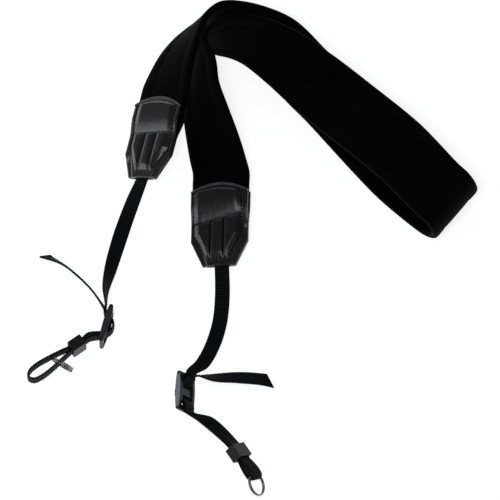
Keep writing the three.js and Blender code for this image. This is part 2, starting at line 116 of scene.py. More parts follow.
@dataclass
class Placing:
    """A hard piece's own axes: X along it, Y across it and Z up off its face."""

    origin: Array
    along: Array
    across: Array

    def __post_init__(self) -> None:
        """Makes the three axes square to each other."""
        self.along = unit(self.along)
        self.off = unit(np.cross(self.along, self.across))
        self.across = np.cross(self.off, self.along)

    def points(self, local: Array) -> Array:
        """Local points, one a row, in the strap's frame."""
        return self.origin + local @ np.array([self.along, self.across, self.off])

    def point(self, along: float, across: float, off: float) -> Array:
        """One local point in the strap's frame."""
        return self.points(np.array([along, across, off], float))


@dataclass
class Stop:
    """A place that a ribbon passes: its middle, the direction across it, its width and its bow."""

    middle: Array
    across: Array
    width: float
    bow: float = 0.0


@dataclass
class RouteFrame:
    """Directions of a ribbon at one place."""

    middle: Array
    span: Array
    normal: Array
    tangent: Array
    width: float
    bow: float
    place: float
    run: float

    def points(self, flat: Array) -> Array:
        """Points at u across and v off the face, one pair a row, in the strap's frame.

        Args:
            flat: the pairs, in millimetres.

        Returns:
            The points, raised by the ribbon's bow.
        """
        u, v = flat[:, 0], flat[:, 1]
        fullness = 1 - (2 * u / self.width) ** 2
        return self.middle + np.outer(u, self.span) + np.outer(v + self.bow * fullness, self.normal)


class Curve:
    """Centripetal Catmull-Rom curve through points, with a parameter that counts them."""

    def __init__(self, points: list[Array]) -> None:
        """Keeps the points, and one more past each end.

        Args:
            points: the places that the curve passes, in order.
        """
        first, last = 2 * points[0] - points[1], 2 * points[-1] - points[-2]
        self.points = [first, *points, last]
        self.last = len(points) - 1

    def at(self, place: float) -> Array:
        """Point at a place counted in points from the start.

        Args:
            place: how many points along, with a share.

        Returns:
            The point on the curve.
        """
        place = min(max(place, 0.0), float(self.last))
        index = min(int(place), self.last - 1)
        share = place - index
        p0, p1, p2, p3 = self.points[index:index + 4]
        d0, d1, d2 = (max(np.linalg.norm(b - a), 1e-6) ** 0.5 for a, b in ((p0, p1), (p1, p2), (p2, p3)))
        out = ((p1 - p0) / d0 - (p2 - p0) / (d0 + d1) + (p2 - p1) / d1) * d1
        into = ((p2 - p1) / d1 - (p3 - p1) / (d1 + d2) + (p3 - p2) / d2) * d1
        cubic = 2 * p1 - 2 * p2 + out + into
        square = -3 * p1 + 3 * p2 - 2 * out - into
        return p1 + out * share + square * share**2 + cubic * share**3


class Ribbon:
    """A strip that follows a list of stops by its two edges."""

    def __init__(self, stops: list[Stop]) -> None:
        """Makes the two edge curves.

        Args:
            stops: the places that the ribbon passes, in order.
        """
        self.left = Curve([s.middle - s.across * s.width / 2 for s in stops])
        self.right = Curve([s.middle + s.across * s.width / 2 for s in stops])
        self.last = len(stops) - 1
        self.bows = [s.bow for s in stops]

    def middle(self, place: float) -> Array:
        """Middle of the ribbon at a place."""
        return (self.left.at(place) + self.right.at(place)) / 2

    def frames(self, step: float, first: float = 0.0, last: float | None = None) -> list[RouteFrame]:
        """Frames at even distances along the ribbon.

        Args:
            step: distance between frames, in millimetres.
            first: place of the first frame.
            last: place of the last frame, or the ribbon's end.

        Returns:
            The frames in order, each with the distance run since the first.
        """
        last = float(self.last) if last is None else last
        fine = np.linspace(first, last, int((last - first) * 40) + 2)
        middles = np.array([self.middle(p) for p in fine])
        run = np.concatenate([[0], np.cumsum(np.linalg.norm(np.diff(middles, axis=0), axis=1))])
        count = max(2, round(run[-1] / step) + 1)
        marks = np.linspace(0, run[-1], count)
        return [self.frame(p, r) for p, r in zip(np.interp(marks, run, fine), marks)]

    def frame(self, place: float, run: float = 0.0) -> RouteFrame:
        """Directions at a place counted in stops.

        Args:
            place: how many stops along, with a share.
            run: distance run so far, in millimetres.

        Returns:
            The ribbon's frame there.
        """
        reach = 0.02
        span = self.right.at(place) - self.left.at(place)
        width = float(np.linalg.norm(span))
        tangent = unit(self.middle(place + reach) - self.middle(place - reach))
        normal = unit(np.cross(tangent, span))
        index = min(int(place), self.last - 1)
        bow = self.bows[index] + (self.bows[index + 1] - self.bows[index]) * (place - index)
        return RouteFrame(self.middle(place), unit(span), normal, tangent, width, bow, place, run)


# ---------------------------------------------------------------- meshes


@dataclass
class MeshData:
    """Points, faces and the flat cloth coordinates of a mesh, in millimetres."""

    points: Array
    faces: list[tuple[int, ...]]
    cloth: Array
    wear_and_painted_light: Array | None = None

    @staticmethod
    def joined(parts: list["MeshData"]) -> "MeshData":
        """Several meshes as one.

        Args:
            parts: the meshes.

        Returns:
            One mesh; a part with no wear values counts as unworn, with no painted light.
        """
        faces: list[tuple[int, ...]] = []
        start = 0
        for part in parts:
            faces += [tuple(i + start for i in face) for face in part.faces]
            start += len(part.points)
        wears = [np.zeros(len(p.points)) if p.wear_and_painted_light is None else p.wear_and_painted_light for p in parts]
        return MeshData(
            np.vstack([p.points for p in parts]), faces, np.vstack([p.cloth for p in parts]), np.hstack(wears)
        )


def grid_faces(rows: int, columns: int, closed: bool = False) -> list[tuple[int, ...]]:
    """Quads over a grid of points, row after row; closed joins the last column to the first.

    Args:
        rows: rows of points.
        columns: points in each row.
        closed: whether each row is a ring.

    Returns:
        The quads, as point numbers.
    """
    faces = []
    for row in range(rows - 1):
        for column in range(columns if closed else columns - 1):
            a, b = row * columns + column, row * columns + (column + 1) % columns
            faces.append((a, b, b + columns, a + columns))
    return faces


def skin(rings: list[Array], cloth: list[Array], wear_and_painted_light: list[Array] | None = None) -> MeshData:
    """Closed solid over rings of points that run counter-clockwise seen from the far end.

    Args:
        rings: one array of points for each ring.
        cloth: the cloth coordinates of each ring's points.
        wear_and_painted_light: how worn each point is and how much painted light it gets, or None.

    Returns:
        The mesh, with both ends capped.
    """
    count = len(rings[0])
    faces = grid_faces(len(rings), count, closed=True)
    last = (len(rings) - 1) * count
    faces.append(tuple(range(count - 1, -1, -1)))
    faces.append(tuple(range(last, last + count)))
    worn_and_lit = None if wear_and_painted_light is None else np.hstack(wear_and_painted_light)
    return MeshData(np.vstack(rings), faces, np.vstack(cloth), worn_and_lit)


def sweep(frames: list[RouteFrame], section: Section, wear_and_painted_light: Section | None = None) -> MeshData:
    """Solid of a section, rows of u and v, swept along a ribbon's frames.

    Args:
        frames: the frames, in order.
        section: gives the outline at a frame.
        wear_and_painted_light: gives how worn each outline point is and how much painted light it gets, or
            None.

    Returns:
        The closed mesh.
    """
    flats = [section(f) for f in frames]
    rings = [f.points(flat) for f, flat in zip(frames, flats)]
    cloth = [np.column_stack([np.full(len(flat), f.run), flat]) for f, flat in zip(frames, flats)]
    worn_and_lit = None if wear_and_painted_light is None else [wear_and_painted_light(f) for f in frames]
    return skin(rings, cloth, worn_and_lit)


def add_piece(name: str, data: MeshData, material: bpy.types.Material, replaces: list[str]) -> bpy.types.Object:
    """Makes a mesh object of the strap that rides on its body and stands for CAD nodes.

    Args:
        name: the piece's name.
        data: its mesh in millimetres, in the frame of the routes.
        material: its finish.
        replaces: the CAD nodes it stands for.

    Returns:
        The new object.
    """
    mesh = bpy.data.meshes.new(name)
    mesh.from_pydata(((data.points - OUTLINE_MIDDLE) * MM).tolist(), [], data.faces)
    cloth = mesh.attributes.new("cloth", "FLOAT_VECTOR", "POINT")
    cloth.data.foreach_set("vector", data.cloth.astype(np.float32).ravel())
    # this attribute holds real wear and also painted highlight and painted reflection
    worn_and_lit = mesh.attributes.new("wear_and_painted_light", "FLOAT", "POINT")
    wear_and_painted_light = np.zeros(len(data.points)) if data.wear_and_painted_light is None else data.wear_and_painted_light
    worn_and_lit.data.foreach_set("value", wear_and_painted_light.astype(np.float32))
    mesh.materials.append(material)
    mesh.polygons.foreach_set("use_smooth", [True] * len(mesh.polygons))
    mesh.validate()
    piece = bpy.data.objects.new(name, mesh)
    bpy.context.scene.collection.objects.link(piece)
    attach(piece, BODY)
    if replaces:
        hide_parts(*replaces)
    LOG.info("%s: %d faces", name, len(mesh.polygons))
    return piece


def stitch_run(points: Array, normals: Array, pitch: float, length: float, thickness: float) -> MeshData:
    """A row of stitches along a line on a surface, each a small humped thread.

    Args:
        points: the line, one point a row, close together.
        normals: the surface's normal at each point.
        pitch: distance from stitch to stitch, in millimetres.
        length: length of each stitch.
        thickness: thickness of the thread.

    Returns:
        One mesh of all the stitches.
    """
    run = np.concatenate([[0], np.cumsum(np.linalg.norm(np.diff(points, axis=0), axis=1))])
    sides, shares = 6, (0.0, 0.18, 0.5, 0.82, 1.0)
    swell = (0.35, 0.9, 1.0, 0.9, 0.35)
    lift = (-0.35, 0.12, 0.3, 0.12, -0.35)
    parts = []
    for start in np.arange(pitch / 2, run[-1] - length, pitch):
        marks = [start + length * share for share in shares]
        middle = np.column_stack([np.interp(marks, run, points[:, k]) for k in range(3)])
        normal = unit(np.column_stack([np.interp(marks, run, normals[:, k]) for k in range(3)]))
        tangent = unit(middle[-1] - middle[0])
        rings = []
        for k in range(len(shares)):
            side = unit(np.cross(normal[k], tangent))
            up = np.cross(tangent, side)
            angles = np.arange(sides) * 2 * math.pi / sides
            radius = swell[k] * thickness / 2
            centre = middle[k] + up * lift[k] * thickness
            rings.append(centre + radius * (np.outer(np.cos(angles), side) + np.outer(np.sin(angles), up)))
        parts.append(skin(rings, [np.tile([start, 0, 0], (sides, 1))] * len(shares)))
    return MeshData.joined(parts)


# ---------------------------------------------------------------- materials


def linear(hex_colour: str) -> tuple[float, float, float, float]:
    """An sRGB hex colour such as "#101214" as linear RGBA.

    Args:
        hex_colour: the colour.

    Returns:
        Red, green, blue and alpha.
    """
    values = [int(hex_colour[i:i + 2], 16) / 255 for i in (1, 3, 5)]
    red, green, blue = (v / 12.92 if v <= 0.04045 else ((v + 0.055) / 1.055) ** 2.4 for v in values)
    return red, green, blue, 1.0


class Shader:
    """A node material that is built up node by node."""

    def __init__(self, name: str, roughness: float, metallic: float = 0.0, **sockets: float) -> None:
        """Starts a material with its surface-wide values on the shader's own sockets.

        Args:
            name: the material's name.
            roughness: how rough the surface is.
            metallic: 1 for bare metal.
            sockets: other sockets, with _ for each space.
        """
        self.material = bpy.data.materials.new(name)
        self.material.use_nodes = True
        self.tree = self.material.node_tree
        self.surface = self.tree.nodes["Principled BSDF"]
        self.surface.inputs["Roughness"].default_value = roughness
        self.surface.inputs["Metallic"].default_value = metallic
        for socket, value in sockets.items():
            self.surface.inputs[socket.replace("_", " ")].default_value = value

    def add(self, kind: str, links: dict[str | int, object] | None = None,
            **settings: object) -> bpy.types.Node:
        """Adds one node.

        Args:
            kind: the node's type name without its "ShaderNode" start.
            links: for each input, a value or the output that feeds it.
            settings: the node's own properties.

        Returns:
            The new node.
        """
        node = self.tree.nodes.new("ShaderNode" + kind)
        for name, value in settings.items():
            setattr(node, name, value)
        for name, value in (links or {}).items():
            if isinstance(value, bpy.types.NodeSocket):
                self.tree.links.new(value, node.inputs[name])
            else:
                node.inputs[name].default_value = value
        return node

    def ramp(self, factor: bpy.types.NodeSocket, stops: list[tuple[float, str]]) -> bpy.types.NodeSocket:
        """Colour from a factor by a row of places and sRGB colours.

        Args:
            factor: what drives the colour.
            stops: places from 0 to 1 with their hex colours.

        Returns:
            The colour output.
        """
        node = self.add("ValToRGB", {"Fac": factor})
        elements = node.color_ramp.elements
        while len(elements) < len(stops):
            elements.new(0.5)
        for element, (place, colour) in zip(elements, stops):
            element.position = place
            element.color = linear(colour)
        return node.outputs["Color"]

    def feed(self, socket: str, output: bpy.types.NodeSocket) -> None:
        """Links an output to a socket of the surface shader."""
        self.tree.links.new(output, self.surface.inputs[socket])

    def bump(self, height: bpy.types.NodeSocket, depth: float) -> None:
        """Raises the surface by a height, to a real depth in millimetres."""
        node = self.add("Bump", {"Height": height, "Strength": 1.0, "Distance": depth * MM})
        self.feed("Normal", node.outputs["Normal"])


class Finish(Enum):
    """The strap's surfaces."""

    NEOPRENE = "knit_faced_neoprene"
    BINDING = "knitted_edge_tape"
    LEATHER = "corrected_grain_leather"
    LEATHER_EDGE = "turned_leather_edge"
    WEBBING = "woven_polyester_webbing"
    PLASTIC = "moulded_nylon"
    REFLECTING_PLASTIC = "moulded_nylon_painted_reflection"
    STEEL = "nickel_plated_wire"
    THREAD = "bonded_nylon_thread"


@dataclass(frozen=True)
class Knit:
    """Fine jersey laminated on foam, or knitted tape: dull, with a faint cool sheen and a tight rib."""

    name: str
    dark: str
    light: str
    wale: float
    course: float
    depth: float

    def build(self) -> bpy.types.Material:
        """Makes the material, with its rib drawn from the cloth's own millimetres.

        Returns:
            The material.
        """
        # Knitted nylon scatters light from many fibre ends, so it is matt with a soft edge glow.
        shader = Shader(self.name, 0.8, IOR=1.5, Sheen_Weight=0.025, Sheen_Roughness=0.45,
                        Specular_IOR_Level=0.04)
        shader.surface.inputs["Sheen Tint"].default_value = linear("#9fb2c8")
        place = shader.add("Attribute", attribute_name="cloth").outputs["Vector"]
        axes = shader.add("SeparateXYZ", {0: place})
        # Real jersey has wales about 0.5 mm apart. They are drawn at the given size so that they show.
        full = 2 * math.pi
        wale = shader.add("Math", {0: axes.outputs["Y"], 1: full / self.wale}, operation="MULTIPLY")
        course = shader.add("Math", {0: axes.outputs["X"], 1: full / self.course}, operation="MULTIPLY")
        across = shader.add("Math", {0: wale.outputs[0]}, operation="SINE")
        along = shader.add("Math", {0: course.outputs[0]}, operation="SINE")
        loops = shader.add("Math", {0: across.outputs[0], 1: along.outputs[0]}, operation="MULTIPLY")
        fuzz = shader.add("TexNoise", {"Vector": place, "Scale": 1.6, "Detail": 6.0, "Roughness": 0.7})
        height = shader.add("Math", {0: loops.outputs[0], 1: 0.5, 2: fuzz.outputs[0]},
                            operation="MULTIPLY_ADD")
        shader.bump(height.outputs[0], self.depth)
        patches = shader.add("TexNoise", {"Vector": place, "Scale": 0.045, "Detail": 4.0})
        shader.feed("Base Color", shader.ramp(patches.outputs[0], [(0.3, self.dark), (0.75, self.light)]))
        return shader.material


@dataclass(frozen=True)
class Leather:
    """Thin dyed leather with a pressed pebble grain, polished on the crowns and rubbed at the edges."""

    name: str
    base: str
    crown: str
    worn_and_lit: str
    scuffed: str
    roughness: float
    pebble: float

    def build(self) -> bpy.types.Material:
        """Makes the material: pebbles and pores for the grain, and worn colour where wear is set, which on the
        turned edge is partly a painted highlight.

        Returns:
            The material.
        """
        # A thin acrylic top coat gives soft satin highlights that break up over the pebbles.
        shader = Shader(self.name, self.roughness, Coat_Weight=0.5, Coat_Roughness=0.26, IOR=1.5)
        place = shader.add("Attribute", attribute_name="cloth").outputs["Vector"]
        worn_and_lit = shader.add("Attribute", attribute_name="wear_and_painted_light").outputs["Fac"]
        pebbles = shader.add("TexVoronoi", {"Vector": place, "Scale": 1 / self.pebble}, feature="SMOOTH_F1")
        pores = shader.add("TexNoise", {"Vector": place, "Scale": 2.2, "Detail": 8.0, "Roughness": 0.65})
        height = shader.add("Math", {0: pebbles.outputs[0], 1: 0.75, 2: pores.outputs[0]},
                            operation="MULTIPLY_ADD")
        shader.bump(height.outputs[0], 0.07)
        tone = shader.add("TexNoise", {"Vector": place, "Scale": 0.12, "Detail": 5.0})
        colour = shader.ramp(tone.outputs[0], [(0.3, self.base), (0.75, self.crown)])
        breakup = shader.add("TexNoise", {"Vector": place, "Scale": 0.55, "Detail": 9.0, "Roughness": 0.75})
        patch = shader.add("Math", {0: worn_and_lit, 1: breakup.outputs[0]}, operation="MULTIPLY")
        share = shader.add("MapRange", {"Value": patch.outputs[0], "From Min": 0.22, "From Max": 0.5})
        rubbed_and_lit = shader.ramp(share.outputs[0], [(0.0, self.worn_and_lit), (1.0, self.scuffed)])
        mixed = shader.add("Mix", data_type="RGBA")
        shader.tree.links.new(share.outputs[0], mixed.inputs[0])
        shader.tree.links.new(colour, mixed.inputs[6])
        shader.tree.links.new(rubbed_and_lit, mixed.inputs[7])
        shader.feed("Base Color", mixed.outputs[2])
        shine = shader.add("MapRange", {"Value": pores.outputs[0], "From Min": 0.3, "From Max": 0.7,
                                        "To Min": self.roughness - 0.07, "To Max": self.roughness + 0.12})
        shader.feed("Roughness", shine.outputs[0])
        return shader.material


@dataclass(frozen=True)
class Weave:
    """Ribbed polyester webbing: dull black yarns with a painted highlight on their crowns."""

    name: str
    dark: str
    light: str

    def build(self) -> bpy.types.Material:
        """Makes the material, with warp yarns running along the strap between its modelled ribs.

        Returns:
            The material.
        """
        # Filament yarn is smoother than knit, so the ribs show a weak gloss; their lighter crowns are a painted
        # highlight.
        shader = Shader(self.name, 0.6, IOR=1.55, Sheen_Weight=0.01, Sheen_Roughness=0.4,
                        Specular_IOR_Level=0.04)
        place = shader.add("Attribute", attribute_name="cloth").outputs["Vector"]
        axes = shader.add("SeparateXYZ", {0: place})
        # Warp yarns are about 0.35 mm wide; they are drawn at 0.6 mm, the finest that still shows.
        warp = shader.add("Math", {0: axes.outputs["Y"], 1: 2 * math.pi / 0.6}, operation="MULTIPLY")
        yarns = shader.add("Math", {0: warp.outputs[0]}, operation="SINE")
        fibre = shader.add("TexNoise", {"Vector": place, "Scale": 2.5, "Detail": 6.0, "Roughness": 0.7})
        height = shader.add("Math", {0: yarns.outputs[0], 1: 0.5, 2: fibre.outputs[0]},
                            operation="MULTIPLY_ADD")
        shader.bump(height.outputs[0], 0.09)
        # painted highlight: rib crowns are coloured lighter than the valleys, read from the per-point crown
        # values
        crown = shader.add("Attribute", attribute_name="wear_and_painted_light").outputs["Fac"]
        tone = shader.add("Math", {0: crown, 1: fibre.outputs[0]}, operation="MULTIPLY")
        shader.feed("Base Color", shader.ramp(tone.outputs[0], [(0.12, self.dark), (0.46, self.light)]))
        return shader.material


@dataclass(frozen=True)
class Moulded:
    """Moulded nylon with a fine spark-eroded texture, polished where webbing and fingers rub it, and a painted
    reflection on the slider rails.
    """

    name: str
    base: str
    rubbed_and_lit: str
    roughness: float

    def build(self) -> bpy.types.Material:
        """Makes the material, lighter where the wear attribute is set: rubbed keeper edges, and a painted
        reflection on the slider rails.

        Returns:
            The material.
        """
        # Filled nylon has a fine satin texture from the mould, and pale scuffs on the keepers' high edges; the
        # pale slider rail sides are a painted reflection.
        shader = Shader(self.name, self.roughness, IOR=1.53, Coat_Weight=0.05, Coat_Roughness=0.3,
                        Specular_IOR_Level=0.28)
        place = shader.add("Attribute", attribute_name="cloth").outputs["Vector"]
        worn_and_lit = shader.add("Attribute", attribute_name="wear_and_painted_light").outputs["Fac"]
        grit = shader.add("TexNoise", {"Vector": place, "Scale": 3.5, "Detail": 6.0, "Roughness": 0.6})
        shader.bump(grit.outputs[0], 0.03)
        scratches = shader.add("TexNoise", {"Vector": place, "Scale": 0.8, "Detail": 8.0, "Distortion": 1.5})
        # painted reflection on the slider rails and rubbed wear on the keeper edges both raise this level
        level = shader.add("Math", {0: scratches.outputs[0], 1: 0.5, 2: worn_and_lit}, operation="MULTIPLY_ADD")
        share = shader.add("MapRange", {"Value": level.outputs[0], "From Min": 0.2, "From Max": 1.15})
        shader.feed("Base Color", shader.ramp(share.outputs[0], [(0.0, self.base), (1.0, self.rubbed_and_lit)]))
        return shader.material


@dataclass(frozen=True)
class PlatedWire:
    """Bright nickel on spring steel wire, with fine drawing marks."""

    name: str
    bright: str
    dull: str

    def build(self) -> bpy.types.Material:
        """Makes the material, with marks that run along the wire.

        Returns:
            The material.
        """
        # Nickel is a warm pale metal. The wire's drawing marks blur its highlights along its length.
        shader = Shader(self.name, 0.2, metallic=1.0)
        place = shader.add("Attribute", attribute_name="cloth").outputs["Vector"]
        stretched = shader.add("VectorMath", {0: place, 1: (0.4, 6.0, 6.0)}, operation="MULTIPLY")
        marks = shader.add("TexNoise", {"Vector": stretched.outputs[0], "Scale": 1.0, "Detail": 6.0})
        shader.bump(marks.outputs[0], 0.02)
        shader.feed("Base Color", shader.ramp(marks.outputs[0], [(0.35, self.dull), (0.65, self.bright)]))
        shine = shader.add("MapRange", {"Value": marks.outputs[0], "To Min": 0.12, "To Max": 0.32})
        shader.feed("Roughness", shine.outputs[0])
        return shader.material


def make_finishes() -> dict[Finish, bpy.types.Material]:
    """Builds every finish once.

    Returns:
        The materials by finish.
    """
    recipes = {
        Finish.NEOPRENE: Knit(Finish.NEOPRENE.value, "#010304", "#05090c", 0.9, 0.9, 0.1),
        Finish.BINDING: Knit(Finish.BINDING.value, "#020406", "#070b0f", 1.1, 0.8, 0.12),
        Finish.LEATHER: Leather(
            Finish.LEATHER.value, "#04070a", "#0b1014", "#1f2226", "#857865", 0.31, 0.85,
        ),
        # the turned edge's lighter greys are partly a painted highlight, strongest on top of its roll
        Finish.LEATHER_EDGE: Leather(
            Finish.LEATHER_EDGE.value, "#1b1f24", "#2b3036", "#3d4146", "#6b6e70", 0.45, 0.9,
        ),
        # the webbing's lighter colour is a painted highlight on its rib crowns
        Finish.WEBBING: Weave(Finish.WEBBING.value, "#010202", "#1c2327"),
        # the paler colour is rubbed wear on the keeper edges and a painted highlight on the left slider's rail
        Finish.PLASTIC: Moulded(Finish.PLASTIC.value, "#0e1215", "#33393f", 0.45),
        # the pale rail colour is a painted reflection of the bright room on the right slider's rail
        Finish.REFLECTING_PLASTIC: Moulded(Finish.REFLECTING_PLASTIC.value, "#0f1114", "#8d8f98", 0.4),
        Finish.STEEL: PlatedWire(Finish.STEEL.value, "#98958b", "#5d5a52"),
        Finish.THREAD: Weave(Finish.THREAD.value, "#020303", "#0c0f12"),
    }
    return {finish: recipe.build() for finish, recipe in recipes.items()}


# ---------------------------------------------------------------- where the tabs and hardware lie


@dataclass
class TabPlace:
    """Where a tab's upper end lies, and how the tab is turned."""

    origin: tuple[float, float, float]
    heading: float
    pitch: float
    roll: float
    webbing_aside: float

    def placing(self) -> Placing:
        """The tab's own axes."""
        along, across = direction(self.heading, -self.pitch), direction(self.heading + 90, self.roll)
        return Placing(np.array(self.origin), along, across)


TABS = {
    "left": TabPlace((-57.6, 102.3, 15.6), -104.2, 3, 36, 0.0),
    "right": TabPlace((-19.3, 43.8, 9.3), -91.2, 2, 14, 1.8),
}
TAB_PLACINGS = {side: tab.placing() for side, tab in TABS.items()}


def row_placing(x: float, y: float, z: float, along: float, heading: float, lean: float) -> Placing:
    """Axes of a hard piece from its middle, its heading and the direction of its width."""
    return Placing(np.array([x, y, z], float), direction(along, 0), direction(heading, lean))


PLACINGS = {
    "slider_left": row_placing(-95.3, -56.9, 8.2, along=-105.5, heading=0, lean=-90),
    "keeper_left": row_placing(-114.8, -70.1, 7, along=215.8, heading=0, lean=-90),
    "split_ring_left": row_placing(-124.3, -83.7, 8.1, along=-31, heading=-121, lean=79),
    "slider_right": row_placing(-43, -103.7, 8.4, along=-92, heading=178, lean=54),
    "keeper_right": row_placing(-7.5, -145.4, 8.6, along=-57.1, heading=32.9, lean=-46),
}


def ring_in_loop(keeper: Placing, reach: float, rise: float, swing: float) -> Placing:
    """Axes of a ring that hangs from the end of the loop past a keeper.

    Args:
        keeper: the keeper's axes.
        reach: how far past the keeper's middle the wire crosses the loop.
        rise: how far off the loop's middle plane it crosses.
        swing: how far the ring tips, in degrees.

    Returns:
        The ring's axes, about its own middle.
    """
    turn = math.radians(swing)
    away = keeper.along * math.cos(turn) + keeper.off * math.sin(turn)
    return Placing(keeper.point(reach, 0, rise) + away * RING_RADIUS, away, keeper.across)


PLACINGS["split_ring_right"] = ring_in_loop(PLACINGS["keeper_right"], 17.6, 0.35, -22)


# ---------------------------------------------------------------- route of the pad


@dataclass
class PadRow:
    """One section of the pad from its inner edge, with the direction from there to its outer edge."""

    x: float
    y: float
    z: float
    heading: float
    lean: float
    width: float
    bow: float = 0.0

    def stop(self) -> Stop:
        """The section as a stop of the ribbon.

        Returns:
            The stop, at the section's middle.
        """
        across = direction(self.heading, self.lean)
        middle = np.array([self.x, self.y, self.z]) + across * self.width / 2
        return Stop(middle, across, self.width, self.bow)


LOWER_HALF = [
    # left leg, from its tab up to the bend
    PadRow(-66, 125.5, 2.8, heading=154, lean=138, width=39, bow=-0.6),
    PadRow(-57.8, 139.5, 2.6, heading=144, lean=129, width=39.5, bow=-1),
    PadRow(-46.2, 152, 2.1, heading=134, lean=117, width=40, bow=-1),
    # on edge round the bend
    PadRow(-33, 160, 1.6, heading=119, lean=103, width=40.5, bow=-0.6),
    PadRow(-19.5, 156.5, 1.4, heading=99, lean=85, width=41),
    PadRow(-6.5, 145, 2, heading=77, lean=66, width=41.5),
    # lower half of the pad, settling flat on the table
    PadRow(8.6, 126.2, 2.2, heading=56, lean=35, width=43),
    PadRow(22, 107.5, 2.7, heading=45, lean=13, width=43.5),
    PadRow(38, 90.3, 2.5, heading=41.5, lean=3, width=45),
    PadRow(52, 74, 2.5, heading=41.5, lean=0.4, width=45.6),
    PadRow(70, 53, 2.5, heading=43, lean=0, width=46),
    PadRow(86, 35.5, 2.5, heading=46, lean=0, width=45.5),
]

UPPER_HALF = [
    # upper half of the pad, coming back from the fold
    PadRow(84, 43, 27.5, heading=49, lean=7, width=45.5),
    PadRow(52, 74, 18, heading=49, lean=12, width=45.5),
    PadRow(29.5, 96, 12.5, heading=51, lean=22, width=44.5),
    PadRow(11.2, 116.2, 8, heading=55, lean=39, width=43),
    # on edge round the bend, inside the lower half
    PadRow(-6.5, 133.2, 3.4, heading=72, lean=60, width=42),
    PadRow(-20, 139, 1.9, heading=96, lean=77, width=41),
    PadRow(-33.5, 140.5, 1.6, heading=140, lean=96, width=40, bow=0.4),
    PadRow(-39.5, 127, 2, heading=163, lean=114, width=39.5, bow=1),
    # right leg, down to its tab
    PadRow(-43, 111, 2.2, heading=170, lean=124, width=39, bow=1.4),
    PadRow(-43.8, 94.5, 2.4, heading=175, lean=137, width=39, bow=1.2),
    PadRow(-42.2, 77, 2.9, heading=178, lean=150, width=39, bow=0.8),
    PadRow(-39.8, 61, 3.2, heading=179, lean=161, width=39, bow=0.3),
]

PAD_END_STOPS = (TAB_PAD_OVERLAP - 0.5, 7.0, 0.0, -7.0)


@dataclass
class Fold:
    """The half circle across the pad that joins its two halves."""

    x: float = 110.0
    y: float = 14.0
    heading: float = 50.0
    width: float = 44.5
    radius: float = 15.5
    middle_z: float = 18.45
    swell: float = 2.5

    def stops(self) -> list[Stop]:
        """Stops round the fold, from the table up.

        Returns:
            The stops, evenly turned.
        """
        across, away = direction(self.heading, 0), direction(self.heading - 90, 0)
        found = []
        for step in range(FOLD_STEPS + 1):
            turn = math.pi * (step / FOLD_STEPS - 0.5)
            middle = np.array([self.x, self.y, self.middle_z]) + across * self.width / 2
            middle = middle + away * self.radius * math.cos(turn)
            middle[2] += self.radius * math.sin(turn)
            leaning = direction(self.heading, self.swell * (1 + math.sin(turn)))
            found.append(Stop(middle, leaning, self.width))
        return found


def pad_route() -> Ribbon:
    """The whole pad's ribbon, from inside the left tab to inside the right one.

    Returns:
        The ribbon.
    """
    ends = {
        side: [Stop(placing.point(along, 0, 0), placing.across, TAB_WIDTH) for along in PAD_END_STOPS]
        for side, placing in TAB_PLACINGS.items()
    }
    lower, upper = ([row.stop() for row in rows] for rows in (LOWER_HALF, UPPER_HALF))
    return Ribbon([*ends["left"], *lower, *Fold().stops(), *upper, *reversed(ends["right"])])


# ---------------------------------------------------------------- the pad


